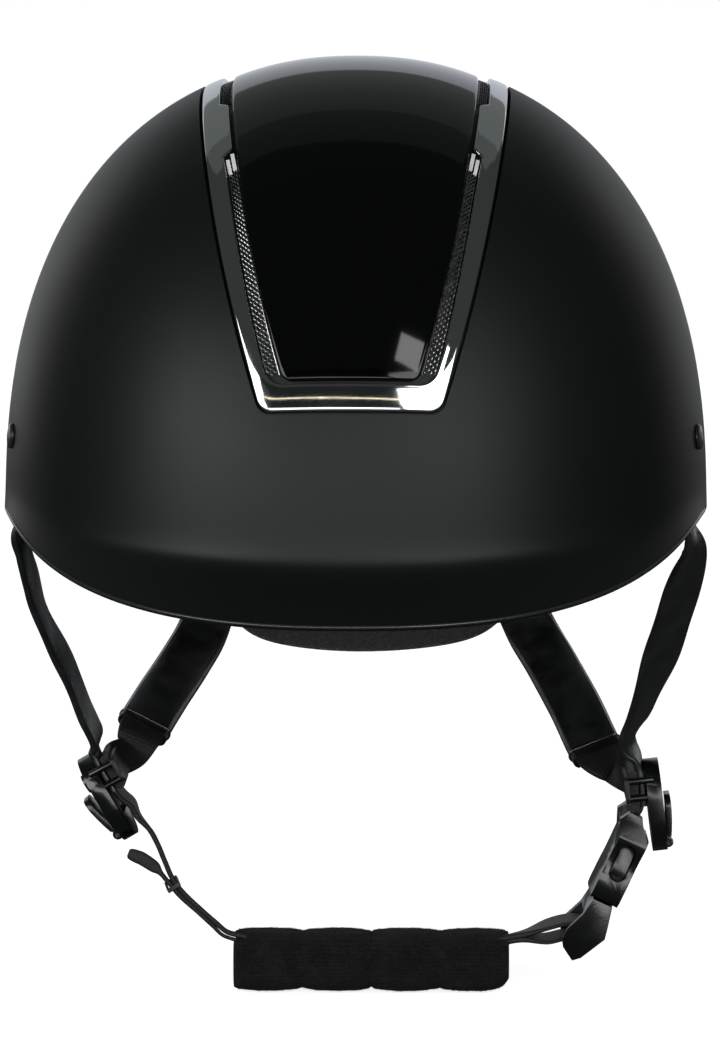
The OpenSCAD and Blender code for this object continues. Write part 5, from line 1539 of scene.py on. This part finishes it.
def fibres(count, reach, seed):
    """Thin curved blades that stand on the pad's skin and lean at random."""
    rng = np.random.default_rng(seed)
    skin = pad_rings()
    n, m = skin.shape[:2]
    i, j = rng.uniform(2, n - 3, count), rng.uniform(0, m, count)
    i0, j0 = i.astype(int), j.astype(int)
    fi, fj = (i - i0)[:, None], (j - j0)[:, None]
    a, b = skin[i0, j0 % m], skin[i0, (j0 + 1) % m]
    c, d = skin[i0 + 1, j0 % m], skin[i0 + 1, (j0 + 1) % m]
    root = (a * (1 - fj) + b * fj) * (1 - fi) + (c * (1 - fj) + d * fj) * fi
    normal = unit(np.cross(d - a, b - c))
    normal *= np.sign(np.sum(normal * (root - np.array(PAD_MID)) * [0, 1, 1], 1, keepdims=True))
    lean = unit(normal + rng.normal(0, 0.55, (count, 3)))
    bow = rng.normal(0, 0.35, (count, 3))
    tall = (reach * rng.uniform(0.45, 1.0, count))[:, None]
    side = unit(np.cross(lean, rng.normal(0, 1, (count, 3)))) * FIBRE_HALF
    one = root + lean * tall * 0.55
    tip = root + (lean + bow * 0.6) * tall
    deep = root - normal * 0.3
    points = np.stack([deep - side, deep + side, one + side * 0.7, one - side * 0.7, tip], 1)
    base = np.arange(count)[:, None] * 5
    return points.reshape(-1, 3), [base + [0, 1, 2, 3], base + [3, 2, 4]]


piece("fleece_fibres", *fibres(FIBRE_COUNT, FIBRE_LONG, FIBRE_SEED), angle=0, body="chin_strap",
      slot="fleece", material=PILE)
print("pad done")

# %% [markdown]
# ## Harness plastics
# Dividers, clamps, levers and buckle are small mouldings with tight fits. They could be modelled
# again, but the CAD solids already have the right form and their joints depend on it. So each
# solid is copied, its flat faces are joined again, and a Bevel gives every edge the small radius
# that real mouldings have and that catches the light.

# %% Mouldings with rounded edges
WELD, FLAT_WITHIN, BEVEL_FROM = 0.000004, 1.5, 30


def moulded(node, body, material, radius, fit=Matrix.Identity(4)):
    """A new object with the CAD solid's shape and rounded edges. It replaces the CAD node."""
    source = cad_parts[node]
    work = bmesh.new()
    work.from_mesh(source.data)
    work.transform(fit @ source.matrix_world)
    bmesh.ops.remove_doubles(work, verts=work.verts, dist=WELD)
    bmesh.ops.dissolve_limit(work, angle_limit=math.radians(FLAT_WITHIN), verts=work.verts, edges=work.edges)
    bmesh.ops.recalc_face_normals(work, faces=work.faces)
    mesh = bpy.data.meshes.new("moulded_" + node)
    work.to_mesh(mesh)
    work.free()
    mesh.shade_smooth()
    mesh.materials.append(material)
    obj = bpy.data.objects.new("moulded_" + node, mesh)
    bpy.context.scene.collection.objects.link(obj)
    edges = obj.modifiers.new("rounded_edges", "BEVEL")
    edges.width, edges.segments = radius / 1000, 3
    edges.limit_method, edges.angle_limit = "ANGLE", math.radians(BEVEL_FROM)
    edges.harden_normals = True
    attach(obj, body)
    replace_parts(obj, node)
    return obj


for side_name in ("left", "right"):
    moulded("divider_plate_" + side_name, "harness", PLASTIC, 0.5)
    moulded("divider_clamp_" + side_name, "harness", CLAMP, 0.35)
    moulded("lock_lever_" + side_name, side_name + "_lever", LEVER, 0.4)
moulded("buckle_housing", "harness", PLASTIC, 0.55)
moulded("buckle_tongue", "chin_strap", PLASTIC, 0.4)
moulded("buckle_arm_front", "arm_front", LEVER, 0.3)
moulded("buckle_arm_rear", "arm_rear", LEVER, 0.3)

# %% [markdown]
# ## Keeper ring
# A tight rubber ring holds the tail against the webbing. The photo shows it slimmer than the solid
# that clears both bands, so the copy is drawn in about its own middle, inside the solid's space.
# It lies between two bodies that part when the buckle opens.

# %% Keeper ring
RING_PLACE, RING_TILT, RING_SHARES = (-0.0602, 0.005, -0.1273), -33, (0.82, 1, 0.6, 1)
ring_turn = Matrix.Translation(RING_PLACE) @ Matrix.Rotation(math.radians(RING_TILT), 4, "Y")
narrow = ring_turn @ Matrix.Diagonal(RING_SHARES) @ ring_turn.inverted()
keeper = moulded("keeper_ring", "chin_strap", RUBBER, 0.25, fit=narrow)
keeper.parent = None
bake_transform(keeper)
print("keeper ring, points:", len(keeper.data.vertices))

# %% [markdown]
# ## Rivets, washers and pins
# These small turned pieces are right as solids: a few millimetres across, with round heads. They
# keep their CAD meshes and only take a finish: black lacquer outside, bright steel inside.

# %% Finishes on the CAD's own small pieces
for node, finish in (("shell_rivets", LACQUER), ("rivet_washers", STEEL), ("lever_pins", LACQUER)):
    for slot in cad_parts[node].material_slots:
        slot.material = finish
print("hardware done")

# %% [markdown]
# ## Studio
# The photo is cut out on white. A white room all round would wash out black gloss, so the studio
# gives each surface what the photo shows in it. Three softboxes low in front light the lower dome.
# White cards behind, left and right, shine to all rays, draw the rims and show in metal and gloss.
# The card between them is softer, and the walls above it are dim, for the bands at the panel's top.
# A dark flag in front keeps the frame's front bar black in the middle. To the camera all of
# them, the floor and the world are white; the floor is pale and keeps the shadow.

# %% Shaders that differ for the camera
FLOOR_MM, WHITE = -162.5, (1, 1, 1)
WORLD_DIM, SOFT_CARD = (0.060, 0.064, 0.060), (0.60, 0.63, 0.68)
WALL_DIM, WALL_DIMMER, FLAG_BLACK = (0.20, 0.212, 0.208), (0.13, 0.137, 0.134), (0.015, 0.016, 0.016)
FLOOR_PALE, FLOOR_OTHERS, FLOOR_GLOW = (0.8, 0.8, 0.8, 1), (0.14, 0.14, 0.14, 1), 0.85


def shader(tree, kind, **values):
    """A shader node with its inputs set, as its output."""
    node = tree.nodes.new(kind)
    for key, value in values.items():
        node.inputs[key].default_value = value
    return node.outputs[0]


def camera_share(tree, others, seen):
    """One shader for camera rays and another for all other rays."""
    path = tree.nodes.new("ShaderNodeLightPath")
    blend = tree.nodes.new("ShaderNodeMixShader")
    tree.links.new(path.outputs["Is Camera Ray"], blend.inputs[0])
    tree.links.new(others, blend.inputs[1])
    tree.links.new(seen, blend.inputs[2])
    return blend.outputs[0]


def glow(name, value, to_others=None):
    """A material or world that shines evenly; to_others is what all but camera rays see."""
    world = name == "studio_world"
    owner = bpy.data.worlds.new(name) if world else bpy.data.materials.new(name)
    owner.use_nodes = True
    tree = owner.node_tree
    tree.nodes.clear()
    kind = "ShaderNodeBackground" if world else "ShaderNodeEmission"
    out = tree.nodes.new("ShaderNodeOutputWorld" if world else "ShaderNodeOutputMaterial")
    light = shader(tree, kind, Color=(*value, 1), Strength=1.0)
    if to_others:
        light = camera_share(tree, shader(tree, kind, Color=(*to_others, 1), Strength=1.0), light)
    tree.links.new(light, out.inputs["Surface"])
    return owner


bpy.context.scene.world = glow("studio_world", WHITE, to_others=WORLD_DIM)

# %% [markdown]
# ## Floor and cards
# The floor is a pale disc that keeps the helmet's shadow for the camera and is dim for all other
# rays, so that it doesn't light the shell from below. A shadow catcher would need compositing.
# The cards are single quads: what is only a light or a reflection needs no thickness.

# %% Floor and cards
paper = bpy.data.materials.new("studio_floor")
paper.use_nodes = True
tree = paper.node_tree
tree.nodes.clear()
both = tree.nodes.new("ShaderNodeAddShader")
tree.links.new(shader(tree, "ShaderNodeBsdfDiffuse", Color=FLOOR_PALE), both.inputs[0])
tree.links.new(shader(tree, "ShaderNodeEmission", Color=(*WHITE, 1), Strength=FLOOR_GLOW), both.inputs[1])
plain = shader(tree, "ShaderNodeBsdfDiffuse", Color=FLOOR_OTHERS)
tree.links.new(camera_share(tree, plain, both.outputs[0]),
               tree.nodes.new("ShaderNodeOutputMaterial").inputs["Surface"])
FLOOR_R, FLOOR_SIDES = 2800, 96
turn = np.arange(FLOOR_SIDES) * 2 * math.pi / FLOOR_SIDES
disc = np.stack([FLOOR_R * np.cos(turn), FLOOR_R * np.sin(turn), np.full(FLOOR_SIDES, FLOOR_MM)], -1)
floor = piece("studio_floor", disc, np.arange(FLOOR_SIDES)[None], angle=0, material=paper)


CARD_AWAY, WALL_AWAY, FLAG_AWAY = 2300, 1700, -2550


def card(name, x0, x1, z0, z1, material, lean=0, depth=CARD_AWAY):
    """A card at a depth behind the helmet, whose upper edge leans back by lean."""
    return piece(name, [(x0, depth, z0), (x1, depth, z0), (x1, depth + lean, z1), (x0, depth + lean, z1)],
                 np.arange(4)[None], angle=0, material=material)


white, soft = glow("card_white", WHITE), glow("card_soft", WHITE, to_others=SOFT_CARD)
dim, dimmer = glow("wall_dim", WHITE, to_others=WALL_DIM), glow("wall_dimmer", WHITE, to_others=WALL_DIMMER)
flag = glow("flag_black", WHITE, to_others=FLAG_BLACK)
LEFT_END_X, LEFT_MID, RIGHT_MID, RIGHT_END_X = -2300, -1150, 1050, 1900
CARD_LOW, CARD_TOP, WALL_MID, WALL_TOP = -162, 1250, 2900, 4200
card("white_card_left", LEFT_END_X, LEFT_MID, CARD_LOW, CARD_TOP, white)
card("white_card_right", RIGHT_MID, RIGHT_END_X, CARD_LOW, CARD_TOP, white)
card("white_card_middle", LEFT_MID, RIGHT_MID, CARD_LOW, CARD_TOP, soft)
card("wall_above", LEFT_END_X, RIGHT_END_X, CARD_TOP, WALL_MID, dim, lean=-600)
card("wall_top", LEFT_END_X, RIGHT_END_X, WALL_MID, WALL_TOP, dimmer, lean=-700, depth=WALL_AWAY)
card("dark_flag", -950, 420, 370, 1230, flag, depth=FLAG_AWAY)
print("floor at, mm:", FLOOR_MM, "and cards behind at, mm:", CARD_AWAY)

# %% [markdown]
# ## Softboxes
# Lamps could be placed by distance and watts. Here each is stated by the angles that it covers as
# seen from the helmet, because that is what a reflection in the photo shows. Three broad ones
# light the front. A small tilted one is the bright patch in the panel's corner, and two thin warm
# ones are the line in the frame's front bar.

# %% Softboxes
BOX_AWAY, WARM = 2.5, (1, 0.85, 0.6)


def softbox(name, azimuth, low, high, span, radiance, tint=WHITE, roll=0):
    """An area light of even radiance that covers the stated angles as the helmet sees them."""
    a, e = math.radians(azimuth), math.radians((low + high) / 2)
    tall = 2 * BOX_AWAY * math.tan(math.radians(high - low) / 2)
    wide = 2 * BOX_AWAY * math.tan(math.radians(span) / 2)
    light = bpy.data.lights.new(name, "AREA")
    light.shape, light.size, light.size_y = "RECTANGLE", wide, tall
    light.energy, light.color = math.pi * wide * tall * radiance, tint
    obj = bpy.data.objects.new(name, light)
    toward = Vector((math.sin(a) * math.cos(e), -math.cos(a) * math.cos(e), math.sin(e)))
    obj.location = toward * BOX_AWAY
    obj.rotation_euler = ((-obj.location).to_track_quat("-Z", "Y").to_matrix()
                          @ Matrix.Rotation(math.radians(roll), 3, "Z")).to_euler()
    bpy.context.scene.collection.objects.link(obj)


softbox("front_left", -43, -1, 25, 38, 5.2)
softbox("front_right", 25.5, -1, 25, 31, 5.0)
softbox("front_middle", -7, -3, 8, 31, 5.0)
softbox("corner_strip", 17, 25.5, 33, 8, 7.5, roll=-24)
softbox("table_edge_a", -14, 18.3, 18.6, 16, 7.0, WARM, 4)
softbox("table_edge_b", 3, 18.3, 18.6, 18, 7.0, WARM, -4)
print("studio done")

# %% [markdown]
# ## Last update
# Dressing must not change the helmet's size. Here the scene is only brought up to date.

# %% Bring the scene up to date
bpy.context.view_layer.update()
